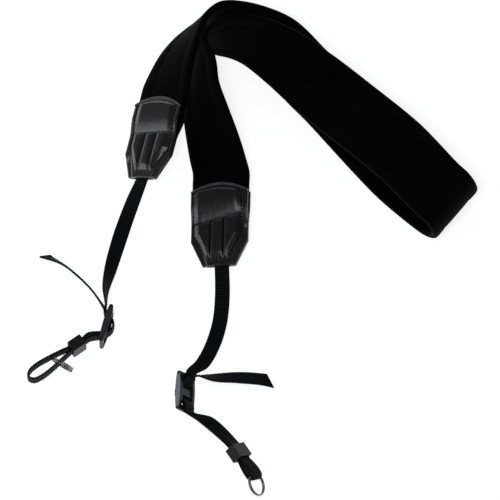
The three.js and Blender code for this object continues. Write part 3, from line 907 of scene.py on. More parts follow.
@dataclass
class NeckPad:
    """Foam pad with a knitted face, and a tape folded round each long edge and stitched down."""

    finishes: dict[Finish, bpy.types.Material]
    step: float = 1.6
    crown: float = 0.35
    groove: float = 0.55
    tape_wall: float = 0.8
    seam_inset: float = 1.5
    stitch_pitch: float = 3.4
    stitch_length: float = 2.5
    thread: float = 0.42
    ripple_seed: int = 5
    tape_seed: int = 11
    # runs from the start of the pad at which short cross seams close its stretch panel
    cross_seams: tuple[float, ...] = (38.5, 47.5)
    route: Ribbon = field(default_factory=pad_route)

    def build(self) -> None:
        """Makes the foam, both tapes and their stitches."""
        frames = self.route.frames(self.step)
        foam = sweep(frames, self.foam_section)
        add_piece("neoprene_pad", foam, self.finishes[Finish.NEOPRENE], ["neck_pad"])
        binding, thread = self.finishes[Finish.BINDING], self.finishes[Finish.THREAD]
        fine = self.route.frames(self.step / 2)
        for name, side in (("outer", 1), ("inner", -1)):
            tape = sweep(frames, lambda f, side=side: self.tape_section(f, side))
            add_piece(f"edge_tape_{name}", tape, binding, [f"pad_binding_{name}"])
            runs = [self.seam_line(fine, side, face) for face in (1, -1)]
            parts = [
                stitch_run(points, normals, self.stitch_pitch, self.stitch_length, self.thread)
                for points, normals in runs
            ]
            add_piece(f"edge_stitches_{name}", MeshData.joined(parts), thread, [])

    def face_height(self, frame_: RouteFrame, u: Array) -> Array:
        """Height of the foam's face over its middle plane, with its crown, seams and soft ripples.

        Args:
            frame_: the place along the pad.
            u: distances across, in millimetres.

        Returns:
            The height at each distance.
        """
        edge = frame_.width / 2 - BINDING_REACH
        inside = np.clip(1 - np.abs(u) / edge, 0, 1)
        height = PAD_THICKNESS / 2 - 0.35 + self.crown * (1 - (1 - inside) ** 3)
        height = np.where(np.abs(u) > edge, PAD_THICKNESS / 2 - self.tape_wall - 0.35, height)
        for seam in self.cross_seams:
            arc = frame_.run - seam - 3.0 * (1 - (u / edge) ** 2)
            height = height - self.groove * np.exp(-((arc / 0.9) ** 2)) * (np.abs(u) < edge)
        ripple = noise(np.column_stack([np.full(len(u), frame_.run), u]), 34.0, self.ripple_seed)
        return height + 0.16 * ripple * smooth(inside, 0.0, 0.25)

    def foam_section(self, frame_: RouteFrame) -> Array:
        """Outline of the foam: both faces, thinned under the tapes.

        Args:
            frame_: the place along the pad.

        Returns:
            The outline's points, u and v a row.
        """
        edge = frame_.width / 2 - BINDING_REACH
        rim = frame_.width / 2 - self.tape_wall - 0.5
        u = np.concatenate([[rim, edge + 0.8, edge + 0.02], np.linspace(edge - 0.02, -edge + 0.02, 22),
                            [-edge - 0.02, -edge - 0.8, -rim]])
        top = self.face_height(frame_, u)
        upper = np.column_stack([u, top])
        lower = np.column_stack([u[::-1], -self.face_height(frame_, u[::-1])])
        return np.vstack([upper, lower])

    def tape_section(self, frame_: RouteFrame, side: int) -> Array:
        """Outline of a tape folded round one edge: a C with a full round bend and slightly raised hems.

        Args:
            frame_: the place along the pad.
            side: 1 for the outer edge, -1 for the inner one.

        Returns:
            The outline's points, u and v a row.
        """
        edge = frame_.width / 2
        inner_end = edge - BINDING_REACH
        half = PAD_THICKNESS / 2
        ripple = 0.12 * noise(np.array([[frame_.run, side * 40.0]]), 17.0, self.tape_seed)[0]
        bend, thin, flat = np.linspace(-math.pi / 2, math.pi / 2, 9), half - self.tape_wall, 0.8
        round_outside, round_inside = (
            np.column_stack([edge - half * flat + radius * flat * np.cos(bend), radius * np.sin(bend)])
            for radius in (half, thin)
        )
        seam = inner_end + self.seam_inset
        dip = half - 0.28
        lower = np.array([[inner_end, -half + 0.35], [inner_end + 0.35, -half + ripple * 0.5],
                          [seam - 0.5, -half + 0.02], [seam, -dip], [seam + 0.6, -half - 0.02],
                          [(seam + edge) / 2, -half - 0.14 - ripple]])
        upper = (lower * [1, -1])[::-1]
        ends_inside = np.array([[inner_end, thin], [inner_end, -thin]])
        outline = np.vstack([lower, round_outside, upper, ends_inside[:1], round_inside[::-1],
                             ends_inside[1:]])
        if side > 0:
            return outline
        return (outline * [-1, 1])[::-1]

    def seam_line(self, frames: list[RouteFrame], side: int, face: int) -> tuple[Array, Array]:
        """The line that a tape's stitches follow on one face, and the face's normals there.

        Args:
            frames: the places along the pad.
            side: 1 for the outer edge, -1 for the inner one.
            face: 1 for the upper face, -1 for the lower one.

        Returns:
            The points and the normals.
        """
        points, normals = [], []
        for f in frames:
            u = side * (f.width / 2 - BINDING_REACH + self.seam_inset)
            points.append(f.points(np.array([[u, face * (PAD_THICKNESS / 2 - 0.2)]]))[0])
            normals.append(f.normal * face)
        return np.array(points), np.array(normals)


# ---------------------------------------------------------------- leather tabs


@dataclass
class LeatherTab:
    """End tab: a padded face with one panel and three flutes, a turned upper edge and a plain back."""

    side: str
    finishes: dict[Finish, bpy.types.Material]
    padding_shift: float
    skew: float
    wear_spots: tuple[tuple[float, float, float], ...]
    panel_end: float = 25.5
    groove_aside: float = 4.5
    panel_top: float = 6.0
    panel_fall: float = 3.3
    seam_top: float = 3.0
    flute_height: float = 1.6
    columns: int = 121
    rows: int = 171
    stitch_pitch: float = 2.5
    stitch_length: float = 1.8
    thread: float = 0.65
    padding_end: float = 52.6
    first_stitch: float = 5.5
    last_stitch: float = 52.0
    pad_end_fade: float = 15.0
    # the back's grain is read from another stretch of the same hide
    back_grain_shift: float = 70.0
    dimple_seed: int = 21
    wave_seed: int = 33
    roll_seed: int = 41

    def __post_init__(self) -> None:
        """Finds the tab's axes."""
        self.placing = TAB_PLACINGS[self.side]

    def build(self) -> None:
        """Makes the face, the turned edge, the back and the stitches."""
        leather, edge = self.finishes[Finish.LEATHER], self.finishes[Finish.LEATHER_EDGE]
        first = TAB_RIM_WIDTH + FIT_GAP
        front = self.sheet(first, self.front_height, self.under_height, self.front_wear)
        add_piece(f"tab_face_{self.side}", front, leather, [f"tab_front_{self.side}"])
        rim = self.sheet(0.0, self.rim_height, self.under_height, self.rim_wear_and_highlight, last=TAB_RIM_WIDTH, rows=15)
        add_piece(f"tab_turned_edge_{self.side}", rim, edge, [f"tab_rim_{self.side}"])
        back = self.sheet(0.0, self.back_top, self.back_bottom, self.front_wear, rows=90)
        add_piece(f"tab_back_face_{self.side}", back, leather, [f"tab_back_{self.side}"])
        thread = self.finishes[Finish.THREAD]
        add_piece(f"tab_stitches_{self.side}", self.stitches(), thread, [])

    @staticmethod
    def half_width(along: Array) -> Array:
        """Half the tab's width at distances from its upper end."""
        narrowing = np.clip((np.asarray(along, float) - TAB_SHOULDER) / (TAB_LENGTH - TAB_SHOULDER), 0, 1)
        return (TAB_WIDTH + (TAB_END_WIDTH - TAB_WIDTH) * narrowing) / 2

    def seam_half_width(self, along: Array) -> Array:
        """Half the width of the stitched outline round the padding."""
        return np.interp(along, [0, 36, 51, TAB_LENGTH], [16.6, 16.2, 8.2, 4.5])

    def padding_depth(self, u: Array, along: Array) -> Array:
        """Distance inside the stitched outline, in millimetres; negative on the flat flange."""
        sides = self.seam_half_width(along) - np.abs(u - self.padding_shift)
        return np.minimum(np.minimum(sides, self.padding_end - along), (along - TAB_RIM_WIDTH) * 1.5 + 0.6)

    def under_height(self, u: Array, along: Array) -> Array:
        """Height of the leather's underside: over the pad, then down to the seam.

        Args:
            u: distances across.
            along: distances from the upper end.

        Returns:
            The heights.
        """
        over_pad = PAD_THICKNESS / 2 + FIT_GAP
        channel = 1.0 * smooth(along, 18, 30) * (1 - smooth(np.abs(u) / self.half_width(along), 0.62, 0.78))
        rest = np.maximum(FIT_GAP / 2, channel)
        past_pad = smooth(along, TAB_PAD_OVERLAP, TAB_PAD_OVERLAP + self.pad_end_fade)
        return over_pad + (rest - over_pad) * past_pad

    def front_height(self, u: Array, along: Array) -> Array:
        """Height of the face: flange, panel, flutes, stitched grooves, dimples and wrinkles.

        Args:
            u: distances across.
            along: distances from the upper end.

        Returns:
            The heights.
        """
        depth = self.padding_depth(u, along)
        divide = self.divide(u)
        flange = self.under_height(u, along) + LEATHER
        # the padding hides where the pad ends under it: its panel falls in one long slope to the seam
        down = np.clip((along - 7.0) / (divide - 7.0), 0, 1)
        panel = self.panel_top - self.panel_fall * down**2.3
        lower = smooth(divide - along, 0.0, 1.6) ** 0.6
        beside = np.abs(np.abs(u - self.padding_shift) - self.groove_aside)
        pillow = (1 - np.exp(-beside / 0.8)) * smooth(along - divide, 0.0, 2.0) ** 0.5
        bulge = 1 - 0.6 * np.clip((along - 40) / 14, 0, 1) ** 2
        flute = self.seam_top - 0.4 + self.flute_height * pillow * bulge
        filled = np.where(along < divide, self.seam_top + (panel - self.seam_top) * lower, flute)
        height = flange + (filled - flange) * smooth(depth, -0.1, 4.6) ** 0.8
        seam = 0.28 * np.exp(-(((depth + 0.2) / 0.5) ** 2))
        divide_seam = 0.35 * np.exp(-(((along - divide) / 0.55) ** 2)) * (depth > 0)
        groove_seam = 0.3 * np.exp(-((beside / 0.4) ** 2)) * (along > divide) * (depth > 0)
        flat = np.column_stack([u, along])
        dimples = 0.09 * noise(flat, 9.0, self.dimple_seed + len(self.side)) * smooth(depth, 0.5, 4)
        pull = 0.02 * np.sin(along * 2 * math.pi / self.stitch_pitch) * np.exp(-(((depth - 1.1) / 1.1) ** 2))
        edge = self.half_width(along) - np.abs(u)
        rolled = 0.25 * (1 - smooth(np.minimum(edge, TAB_LENGTH - along), 0, 1.0))
        waviness = 0.2 * noise(flat, 15.0, self.wave_seed) * (1 - smooth(depth, -1, 1))
        return height - seam - divide_seam - groove_seam + dimples + pull - rolled + waviness

    def divide(self, u: Array) -> Array:
        """Where the seam between the panel and the flutes crosses the tab."""
        return self.panel_end - math.tan(math.radians(self.skew)) * (u - self.padding_shift)

    def rim_height(self, u: Array, along: Array) -> Array:
        """Height of the turned upper edge, a round roll of leather.

        Args:
            u: distances across.
            along: distances from the upper end.

        Returns:
            The heights.
        """
        roll = np.sqrt(np.clip(1 - ((along - TAB_RIM_WIDTH / 2) / (TAB_RIM_WIDTH / 2 + 0.05)) ** 4, 0, 1))
        ripple = 0.1 * noise(np.column_stack([u, along]), 6.0, self.roll_seed)
        return PAD_THICKNESS / 2 + FIT_GAP + 0.35 + (LEATHER * 1.15 + ripple) * roll

    def back_top(self, u: Array, along: Array) -> Array:
        """Inner face of the back leather."""
        return -self.under_height(u, along)

    def back_bottom(self, u: Array, along: Array) -> Array:
        """Outer face of the back leather, with the perimeter seam pressed in."""
        depth = self.padding_depth(u, along)
        return -self.under_height(u, along) - LEATHER + 0.3 * np.exp(-(((depth + 0.2) / 0.6) ** 2))

    def front_wear(self, u: Array, along: Array) -> Array:
        """How rubbed the leather is: along its cut edges, and at a few spots.

        Args:
            u: distances across.
            along: distances from the upper end.

        Returns:
            The wear, from 0.
        """
        edge = np.minimum(self.half_width(along) - np.abs(u), TAB_LENGTH - along)
        wear_and_painted_light = 0.42 * (1 - smooth(edge, 0.0, 1.2))
        for spot_u, spot_along, reach in self.wear_spots:
            away = np.hypot(u - spot_u, (along - spot_along) / 1.6)
            wear_and_painted_light = np.maximum(wear_and_painted_light, 1.3 * (1 - smooth(away, 0.0, reach)))
        return wear_and_painted_light

    def rim_wear_and_highlight(self, u: Array, along: Array) -> Array:
        """How much lighter the turned edge is coloured: most on top of its roll, rubbed wear together with a
        painted highlight.
        """
        return 0.75 * smooth(np.abs(along - TAB_RIM_WIDTH / 2), 1.3, 0.2) + 0 * u

    def arc_drop(self, share: Array, along: Array) -> Array:
        """How far the curved upper end lies below its crown."""
        return TAB_ARC_RISE * share**2 * np.clip(1 - along / TAB_PAD_OVERLAP, 0, None)

    def sheet(self, first: float, top: Callable, bottom: Callable, wear_and_painted_light: Callable, last: float = TAB_LENGTH,
              rows: int | None = None) -> MeshData:
        """Closed leather sheet between two heights over the tab's outline.

        Args:
            first: where the sheet starts along the tab.
            top: height of its upper face.
            bottom: height of its lower face.
            wear_and_painted_light: how worn it is; on the turned edge also how much painted highlight it gets.
            last: where it ends.
            rows: points along it.

        Returns:
            The mesh in the strap's frame.
        """
        rows = rows or self.rows
        lengths, shares = np.linspace(first, last, rows), np.linspace(-1, 1, self.columns)
        along, share = (grid.ravel() for grid in np.meshgrid(lengths, shares, indexing="ij"))
        u = share * self.half_width(along)
        place = along + self.arc_drop(share, along)
        upper, lower = top(u, along), bottom(u, along)
        local = np.vstack([np.column_stack([place, u, upper]), np.column_stack([place, u, lower])])
        count = rows * self.columns
        over = [tuple(reversed(face)) for face in grid_faces(rows, self.columns)]
        under = [tuple(i + count for i in reversed(face)) for face in over]
        start = (rows - 1) * self.columns
        border = [*range(self.columns), *range(2 * self.columns - 1, count, self.columns),
                  *range(count - 2, start - 1, -1), *range(start - self.columns, 0, -self.columns)]
        walls = [(a, b, b + count, a + count) for a, b in zip(border, border[1:] + border[:1])]
        other_side = np.column_stack([place, u + self.back_grain_shift, lower])
        cloth = np.vstack([np.column_stack([place, u, upper]), other_side])
        worn_and_lit = wear_and_painted_light(u, along)
        return MeshData(self.placing.points(local), over + under + walls, cloth, np.hstack([worn_and_lit, worn_and_lit]))

    def on_face(self, u: Array, along: Array) -> tuple[Array, Array]:
        """Points on the surface of the face, and its normals.

        Args:
            u: distances across.
            along: distances from the upper end.

        Returns:
            The points and the normals.
        """
        share, reach = u / self.half_width(along), 0.1
        moved = ((u, along), (u + reach, along), (u, along + reach))
        local = [
            np.column_stack([far + self.arc_drop(share, far), wide, self.front_height(wide, far)])
            for wide, far in moved
        ]
        here, aside, ahead = (self.placing.points(line) for line in local)
        return here, unit(np.cross(ahead - here, aside - here))

    def stitches(self) -> MeshData:
        """Stitches round the padding, along the panel's lower edge and down both grooves.

        Returns:
            One mesh of them all.
        """
        outside = 0.2
        steps = np.linspace(self.first_stitch, self.last_stitch, 150)
        low, width = self.seam_half_width(np.array([self.padding_end, self.panel_end]))
        end = np.linspace(-low, low, 40) + self.padding_shift
        across = np.linspace(-width, width, 80) + self.padding_shift
        beside = self.seam_half_width(steps) + outside
        lines = [(self.padding_shift + sign * beside, steps) for sign in (-1, 1)]
        lines += [(end, np.full(len(end), self.padding_end + outside)), (across, self.divide(across))]
        for sign in (-1, 1):
            u = self.padding_shift + sign * self.groove_aside
            down = np.linspace(float(self.divide(u)) + 1.0, self.last_stitch, 60)
            lines.append((np.full(len(down), u), down))
        parts = []
        for u, along in lines:
            points, normals = self.on_face(u, along)
            normals = normals * np.sign(normals @ self.placing.off)[:, None]
            parts.append(stitch_run(points, normals, self.stitch_pitch, self.stitch_length, self.thread))
        return MeshData.joined(parts)


# ---------------------------------------------------------------- webbing


def stops_on(placing: Placing, rows: list[tuple[float, ...]], side: int = 1) -> list[Stop]:
    """Stops given along and off the face of a hard piece; side turns the webbing's width round.

    Args:
        placing: the hard piece's axes.
        rows: along, off and, if it isn't 0, aside, in millimetres.
        side: 1, or -1 to turn the width round.

    Returns:
        The stops.
    """
    found = []
    for row in rows:
        along, off, aside = (*row, 0.0)[:3]
        found.append(Stop(placing.point(along, aside, off), placing.across * side, WEBBING_WIDTH))
    return found


def free_stop(x: float, y: float, z: float, heading: float, lean: float) -> Stop:
    """A stop of webbing that lies free."""
    return Stop(np.array([x, y, z], float), direction(heading, lean), WEBBING_WIDTH)


def inside_tab(aside: float) -> list[tuple[float, ...]]:
    """Stops of the webbing inside a tab."""
    return [(34, 0, aside / 3), (46, 0, aside * 0.7), (57, 0, aside)]


OVER_BAR_FIRST = [(-9.3, -4), (-5.7, -1.2), (-2.6, 2), (0, 2.6), (2.6, 2), (5.7, -1.2)]
OVER_BAR_AGAIN = [(7, 0.2), (3.2, 3.9), (0, 4.5), (-3.2, 3.9), (-7, 0.2)]


def left_webbing_stops() -> list[Stop]:
    """Route of the left webbing, from its tab to the end of its tail.

    Returns:
        The stops in order.
    """
    slider, keeper = PLACINGS["slider_left"], PLACINGS["keeper_left"]
    return [
        *stops_on(TAB_PLACINGS["left"], inside_tab(TABS["left"].webbing_aside)),
        free_stop(-77.2, 33, 10.2, heading=-15, lean=18),
        free_stop(-83, 17, 8.6, heading=-17, lean=4),
        free_stop(-87.5, 3, 7.4, heading=-15, lean=-10),
        free_stop(-93, -17, 7.2, heading=-11, lean=-42),
        free_stop(-96, -31.5, 8, heading=-4, lean=-70),
        *stops_on(slider, [(-13.2, -4.2), *OVER_BAR_FIRST, (6.8, -4.2)]),
        *stops_on(keeper, [
            (-10.4, -1.6), (-5, -1.1), (5, -1.2), (12, -2.5), (21, -3.7), (29, -4.3), (35, -3.7),
            (38.4, -1.7), (39, 0.7), (36.8, 3.4), (31, 4.4), (22, 3.8), (13, 2.4), (5, 1.2), (-5, 1.1),
            (-9.6, 1),
        ]),
        *stops_on(slider, [(8.6, -2.6), *OVER_BAR_AGAIN, (-9.3, -2.2)]),
        free_stop(-98.6, -41, 7.6, heading=18, lean=-84),
        free_stop(-104.6, -31.6, 6.8, heading=35, lean=-78),
        free_stop(-113, -22.2, 6.2, heading=45, lean=-75),
        free_stop(-124.5, -12.4, 5.8, heading=60, lean=-70),
        free_stop(-139.2, -5, 5.2, heading=72, lean=-48),
    ]


def right_webbing_stops() -> list[Stop]:
    """Route of the right webbing, from its tab to the end of its tail.

    Returns:
        The stops in order.
    """
    slider, keeper = PLACINGS["slider_right"], PLACINGS["keeper_right"]
    return [
        *stops_on(TAB_PLACINGS["right"], inside_tab(TABS["right"].webbing_aside)),
        free_stop(-18.4, -34, 5.2, heading=-1, lean=4),
        free_stop(-20, -52, 4.2, heading=-6, lean=-2),
        free_stop(-24.9, -69.3, 4.6, heading=-18, lean=-10),
        free_stop(-32, -83.5, 7.8, heading=-22, lean=-34),
        *stops_on(slider, [(-13.4, -4.4), *OVER_BAR_FIRST, (9.3, -4), (13.4, -4.5)], -1),
        free_stop(-28.8, -123, 9.6, heading=28, lean=-22),
        *stops_on(keeper, [
            (-5.4, 1.1), (5, 1.2), (11, 2.3), (16, 2.8), (20, 2.2), (21.6, 0), (20, -2.2), (16, -2.8),
            (11, -2.3), (5, -1.2), (-5.4, -1.1),
        ]),
        free_stop(-29.7, -122.2, 7.8, heading=28, lean=-22),
        *stops_on(slider, [(13.4, -2.5), (9.3, -2.2), *OVER_BAR_AGAIN, (-9.3, -2.2), (-11.6, -2.4)], -1),
        free_stop(-35, -93, 12.4, heading=70, lean=-74),
        free_stop(-24.5, -93.8, 10.8, heading=88, lean=-44),
        free_stop(-8, -93, 8.4, heading=90, lean=-25),
        free_stop(7, -93.2, 5.8, heading=87, lean=-20),
        free_stop(16.4, -94.4, 4, heading=84, lean=-16),
    ]


@dataclass
class Webbing:
    """One length of ribbed webbing with rounded selvedges and a heat-cut end."""

    side: str
    stops: list[Stop]
    finishes: dict[Finish, bpy.types.Material]
    rib: float = 1.8
    relief: float = 0.36
    step: float = 0.28
    slant: float = 6.0
    cut_reach: float = 9.0

    def build(self) -> None:
        """Makes the strap with its woven ribs."""
        ribbon = Ribbon(self.stops)
        frames = ribbon.frames(self.step)
        self.length = frames[-1].run
        strap = sweep(frames, self.section, self.wear_and_painted_light)
        strap.points += np.outer(self.end_slant(strap.cloth), frames[-1].tangent)
        add_piece(f"ribbed_webbing_{self.side}", strap, self.finishes[Finish.WEBBING],
                  [f"webbing_{self.side}"])

    def end_slant(self, cloth: Array) -> Array:
        """How far each point moves along the tail so that its end is cut on the slant."""
        near_end = smooth(cloth[:, 0], self.length - self.cut_reach, self.length)
        return near_end * self.slant * (-cloth[:, 1] / WEBBING_WIDTH - 0.5)

    def crown(self, run: float) -> float:
        """How high the weave stands at a run, from 0 between ribs to 1 on a rib."""
        return abs(math.sin(math.pi * run / self.rib))

    def section(self, frame_: RouteFrame) -> Array:
        """Outline of the webbing: ribs alternate on its two faces, and its selvedges are thin.

        Args:
            frame_: the place along the webbing.

        Returns:
            The outline's points, u and v a row.
        """
        half = frame_.width / 2
        shares = np.array([1.0, 0.985, 0.93, 0.86, 0.6, 0.2, -0.2, -0.6, -0.86, -0.93, -0.985])
        selvedge = 1 - 0.12 * smooth(np.abs(shares), 0.88, 0.96)
        full = WEBBING_THICKNESS / 2 * selvedge
        upper = full - self.relief * (1 - self.crown(frame_.run)) * selvedge
        lower = full - self.relief * (1 - self.crown(frame_.run + self.rib / 2)) * selvedge
        upper[np.abs(shares) > 0.95] *= 0.75
        lower[np.abs(shares) > 0.95] *= 0.75
        upper[0] = 0.0
        scallop = 0.06 * self.crown(frame_.run)
        u = shares * (half - 0.06 + scallop)
        top = np.column_stack([u, upper])
        low = np.column_stack([u, -lower])[1:][::-1]
        left = np.array([[-half + 0.06 - scallop, 0.0]])
        return np.vstack([top, left, low])

    def wear_and_painted_light(self, frame_: RouteFrame) -> Array:
        """How light the yarn is painted: a painted highlight on the rib crowns, darker in the valleys."""
        count = len(self.section(frame_))
        return np.full(count, 0.15 + 0.85 * self.crown(frame_.run))


# ---------------------------------------------------------------- hardware


def box_points(size: tuple[float, float, float], middle: tuple[float, float, float]) -> bmesh.types.BMesh:
    """A box as an editable mesh, ready to be shaped and joined.

    Args:
        size: its three sides.
        middle: its middle.

    Returns:
        The box.
    """
    mesh = bmesh.new()
    bmesh.ops.create_cube(mesh, size=1.0)
    bmesh.ops.scale(mesh, vec=Vector(size), verts=mesh.verts)
    bmesh.ops.translate(mesh, vec=Vector(middle), verts=mesh.verts)
    return mesh


def read_back(piece: bpy.types.Object) -> tuple[Array, list[tuple[int, ...]]]:
    """An object's evaluated points and faces.

    Args:
        piece: the object, with its modifiers.

    Returns:
        The points, and the faces as point numbers.
    """
    graph = bpy.context.evaluated_depsgraph_get()
    mesh = piece.evaluated_get(graph).to_mesh()
    points = np.array([v.co for v in mesh.vertices], float)
    faces = [tuple(p.vertices) for p in mesh.polygons]
    piece.evaluated_get(graph).to_mesh_clear()
    return points, faces


def fused(parts: list[bmesh.types.BMesh], voxel: float, rounds: int) -> tuple[Array, list[tuple[int, ...]]]:
    """Several overlapping closed meshes as one moulded solid with soft edges.

    Args:
        parts: the meshes, in millimetres.
        voxel: detail that is kept, in millimetres.
        rounds: how often the surface is smoothed.

    Returns:
        Points and faces of the solid.
    """
    whole = bpy.data.meshes.new("fusing")
    both = bmesh.new()
    for part in parts:
        part.to_mesh(whole)
        both.from_mesh(whole)
        part.free()
    both.to_mesh(whole)
    both.free()
    piece = bpy.data.objects.new("fusing", whole)
    bpy.context.scene.collection.objects.link(piece)
    remesh = piece.modifiers.new("fuse", "REMESH")
    remesh.mode = "VOXEL"
    remesh.voxel_size = voxel
    soften = piece.modifiers.new("soften", "SMOOTH")
    soften.factor = 0.5
    soften.iterations = rounds
    found = read_back(piece)
    bpy.data.objects.remove(piece)
    bpy.data.meshes.remove(whole)
    return found


@dataclass
class Slider:
    """Moulded three-bar slider with bowed rails, thicker in the middle than at the ends."""

    side: str
    finishes: dict[Finish, bpy.types.Material]
    finish: Finish
    reflecting_rail: int
    length: float = 27.0
    width: float = 16.0
    rail_width: float = 2.6
    rail_thickness: float = 4.6
    bar_thickness: float = 2.2
    middle_bar: float = 4.9
    slot_end: float = 9.4
    rail_tip: float = 1.6
    voxel: float = 0.2

    def build(self) -> None:
        """Makes the slider as one moulding."""
        half = self.width / 2
        rails = [self.rail(side * (half - self.rail_width / 2)) for side in (-1, 1)]
        end = self.length / 2 - self.slot_end
        span = self.width - self.rail_width
        bars = [
            box_points((end - 0.3, span, self.bar_thickness), (side * (self.slot_end + end / 2), 0, 0))
            for side in (-1, 1)
        ]
        middle = box_points((self.middle_bar, span, self.bar_thickness), (0, 0, 0))
        points, faces = fused([*rails, *bars, middle], self.voxel, 4)
        # painted reflection: the rails' flat sides are coloured lighter, away from their crowns and tips
        rail_height = 0.5 * self.rail_thickness * (1 - 0.5 * (2 * points[:, 0] / self.length) ** 2)
        lens = rail_height - np.abs(points[:, 2])
        wear_and_painted_light = smooth(self.reflecting_rail * points[:, 1], half - 0.75, half - 0.1) * smooth(lens, 0.1, 0.7)
        wear_and_painted_light = wear_and_painted_light * smooth(self.length / 2 - np.abs(points[:, 0]), 1.2, 3.4)
        placing = PLACINGS[f"slider_{self.side}"]
        data = MeshData(placing.points(points), faces, points, wear_and_painted_light)
        add_piece(f"moulded_slider_{self.side}", data, self.finishes[self.finish],
                  [f"slider_{self.side}"])

    def rail(self, middle: float) -> bmesh.types.BMesh:
        """One bowed rail along the slider.

        Args:
            middle: where the rail lies across the slider.

        Returns:
            The rail.
        """
        mesh = box_points((self.length, self.rail_width, 1.0), (0, middle, 0))
        along = [e for e in mesh.edges if abs((e.verts[0].co - e.verts[1].co).x) > 1]
        bmesh.ops.subdivide_edges(mesh, edges=along, cuts=53, use_grid_fill=True)
        thin = self.bar_thickness / 2 + 0.15
        for vert in mesh.verts:
            bow = 1 - (2 * vert.co.x / self.length) ** 2
            past = max(0.0, (abs(vert.co.x) - self.length / 2 + self.rail_tip) / self.rail_tip)
            tip = math.sqrt(max(0.0, 1 - past**2))
            half = thin + (self.rail_thickness / 2 - thin) * bow
            vert.co.z = math.copysign(half * (0.35 + 0.65 * tip), vert.co.z)
        return mesh


@dataclass
class Keeper:
    """Moulded box sleeve that holds both layers of webbing together, with a small gate mark on one wall."""

    side: str
    finishes: dict[Finish, bpy.types.Material]
    length: float = 10.0
    width: float = 13.0
    height: float = 7.8
    wall: float = 1.1
    voxel: float = 0.17
    mark: float = 1.1
    mark_depth: float = 0.6

    def build(self) -> None:
        """Makes the sleeve as one moulding of four walls."""
        across, up = self.width - self.wall, self.height - self.wall
        flat, upright = (self.length, self.width, self.wall), (self.length, self.wall, self.height)
        walls = [box_points(flat, (0, 0, side * up / 2)) for side in (-1, 1)]
        walls += [box_points(upright, (0, side * across / 2, 0)) for side in (-1, 1)]
        points, faces = fused(walls, self.voxel, 3)
        # the gate mark is a shallow dimple in the middle of the wall that lies uppermost
        away = np.hypot(points[:, 0] + 0.4, points[:, 2])
        top = points[:, 1] < -self.width / 2 + 0.3
        points[:, 1] += np.where(top, self.mark_depth * (1 - smooth(away, self.mark * 0.4, self.mark)), 0)
        shares = np.sort(np.abs(points) * 2 / np.array([self.length, self.width, self.height]), axis=1)
        wear_and_painted_light = 0.6 * smooth(shares[:, 1], 0.9, 1.0)
        placing = PLACINGS[f"keeper_{self.side}"]
        data = MeshData(placing.points(points), faces, points, wear_and_painted_light)
        add_piece(f"moulded_keeper_{self.side}", data, self.finishes[Finish.PLASTIC],
                  [f"keeper_{self.side}"])


@dataclass
class SplitRing:
    """Ring of plated wire wound twice round."""

    side: str
    finishes: dict[Finish, bpy.types.Material]
    wire: float = 0.95
    turns: int = 2
    pitch: float = 1.05
    steps_per_turn: int = 96
    sides: int = 14

    def build(self) -> None:
        """Winds the wire, flattened where the two turns lie on each other."""
        rings, cloth = [], []
        around = -2 * math.pi * np.arange(self.sides) / self.sides
        for step in range(self.turns * self.steps_per_turn + 1):
            turn = 2 * math.pi * step / self.steps_per_turn
            outward = np.array([math.cos(turn), math.sin(turn), 0])
            rise = self.pitch * (step / self.steps_per_turn - self.turns / 2)
            radial = RING_RADIUS + self.wire / 2 * np.cos(around)
            flattened = self.wire / 2 * np.clip(1.15 * np.sin(around), -1, 1)
            ring = np.outer(radial, outward)
            ring[:, 2] = rise + flattened
            rings.append(ring)
            run = np.full(self.sides, turn * RING_RADIUS)
            cloth.append(np.column_stack([run, np.cos(around), np.sin(around)]))
        data = skin(rings, cloth)
        data.points = PLACINGS[f"split_ring_{self.side}"].points(data.points)
        add_piece(f"wound_ring_{self.side}", data, self.finishes[Finish.STEEL],
                  [f"split_ring_{self.side}"])


# ---------------------------------------------------------------- studio


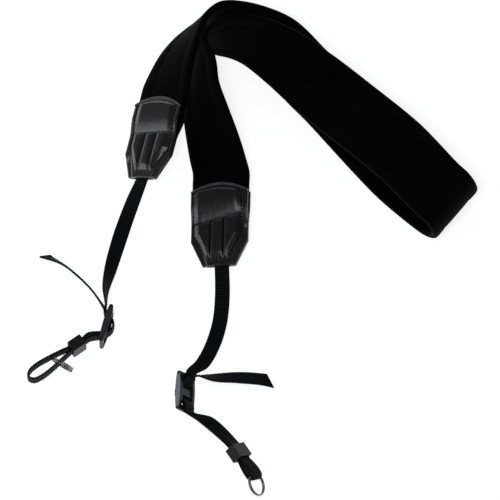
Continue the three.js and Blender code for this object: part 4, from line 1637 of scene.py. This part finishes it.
@dataclass
class Studio:
    """Pale floor, soft lights and the camera."""

    elevation: float = 70.0
    distance: float = 6.0
    view_width: float = 333.3
    sensor: float = 36.0
    floor_half: float = 3.0
    floor_drop: float = 0.0004
    floor_glow: float = 0.78
    room_glow: float = 0.1
    light_colour: str = "#eef5ff"

    def build(self) -> None:
        """Sets up the floor, the light and the camera."""
        self.add_floor()
        self.add_world()
        # name: place, size in metres, power in watts
        lights = {
            "key": ((-0.1, -0.38, 1.15), 0.42, 3.0),
            "left": ((-1.15, -0.05, 0.3), 0.5, 2.1),
            "back": ((-0.3, 1.05, 0.55), 0.5, 1.3),
        }
        for name, (place, size, power) in lights.items():
            self.add_light(name, Vector(place), size, power)
        self.add_camera()

    def add_floor(self) -> None:
        """Lays a wide pale floor just under the strap."""
        mesh = bmesh.new()
        bmesh.ops.create_grid(mesh, x_segments=8, y_segments=8, size=self.floor_half)
        data = bpy.data.meshes.new("studio_floor")
        mesh.to_mesh(data)
        mesh.free()
        floor = bpy.data.objects.new("studio_floor", data)
        floor.location.z = -self.floor_drop
        bpy.context.scene.collection.objects.link(floor)
        # Matt white paper: bright and even, with only soft shadows under the strap.
        shader = Shader("white_paper", 0.95, Specular_IOR_Level=0.1, Emission_Strength=self.floor_glow)
        shader.surface.inputs["Base Color"].default_value = linear("#f4f4f4")
        shader.surface.inputs["Emission Color"].default_value = linear("#ffffff")
        floor.data.materials.append(shader.material)

    def add_world(self) -> None:
        """Lights everything from a plain bright room."""
        world = bpy.data.worlds.new("white_room")
        world.use_nodes = True
        background = world.node_tree.nodes["Background"]
        background.inputs["Color"].default_value = linear("#ffffff")
        background.inputs["Strength"].default_value = self.room_glow
        bpy.context.scene.world = world

    def add_light(self, name: str, place: Vector, size: float, power: float) -> None:
        """Hangs one square soft box that faces the strap.

        Args:
            name: the light's name.
            place: where it hangs, in metres.
            size: its side, in metres.
            power: its power in watts.
        """
        data = bpy.data.lights.new(name, "AREA")
        data.size = size
        data.energy = power
        data.color = linear(self.light_colour)[:3]
        light = bpy.data.objects.new(name, data)
        light.location = place
        light.rotation_euler = (-place).to_track_quat("-Z", "Y").to_euler()
        bpy.context.scene.collection.objects.link(light)

    def add_camera(self) -> None:
        """Looks down steeply along +Y, with the strap framed as it lies."""
        rise = math.radians(self.elevation)
        away = Vector((0, -math.cos(rise), math.sin(rise)))
        target = Vector(-OUTLINE_MIDDLE * MM)
        data = bpy.data.cameras.new("camera")
        data.sensor_width = self.sensor
        data.lens = self.sensor * self.distance / (self.view_width * MM)
        data.clip_end = 20
        camera = bpy.data.objects.new("camera", data)
        camera.location = target + away * self.distance
        camera.rotation_euler = (-away).to_track_quat("-Z", "Y").to_euler()
        bpy.context.scene.collection.objects.link(camera)
        bpy.context.scene.camera = camera


def main() -> None:
    """Builds the strap piece by piece and reports each one."""
    logging.basicConfig(level=logging.INFO, format="%(name)s %(message)s")
    bpy.context.scene.view_settings.view_transform = "Standard"
    Studio().build()
    finishes = make_finishes()
    NeckPad(finishes).build()
    LeatherTab("left", finishes, padding_shift=0.0, skew=4.0, wear_spots=((-15.5, 45.0, 3.2),)).build()
    LeatherTab("right", finishes, padding_shift=-1.3, skew=12.0, wear_spots=((18.0, 31.0, 2.4),)).build()
    Webbing("left", left_webbing_stops(), finishes).build()
    Webbing("right", right_webbing_stops(), finishes).build()
    Slider("left", finishes, Finish.PLASTIC, reflecting_rail=-1).build()
    Slider("right", finishes, Finish.REFLECTING_PLASTIC, reflecting_rail=1).build()
    for side in ("left", "right"):
        Keeper(side, finishes, mark_depth=0.6 if side == "left" else 0.0).build()
        SplitRing(side, finishes).build()


if __name__ == "__main__":
    main()
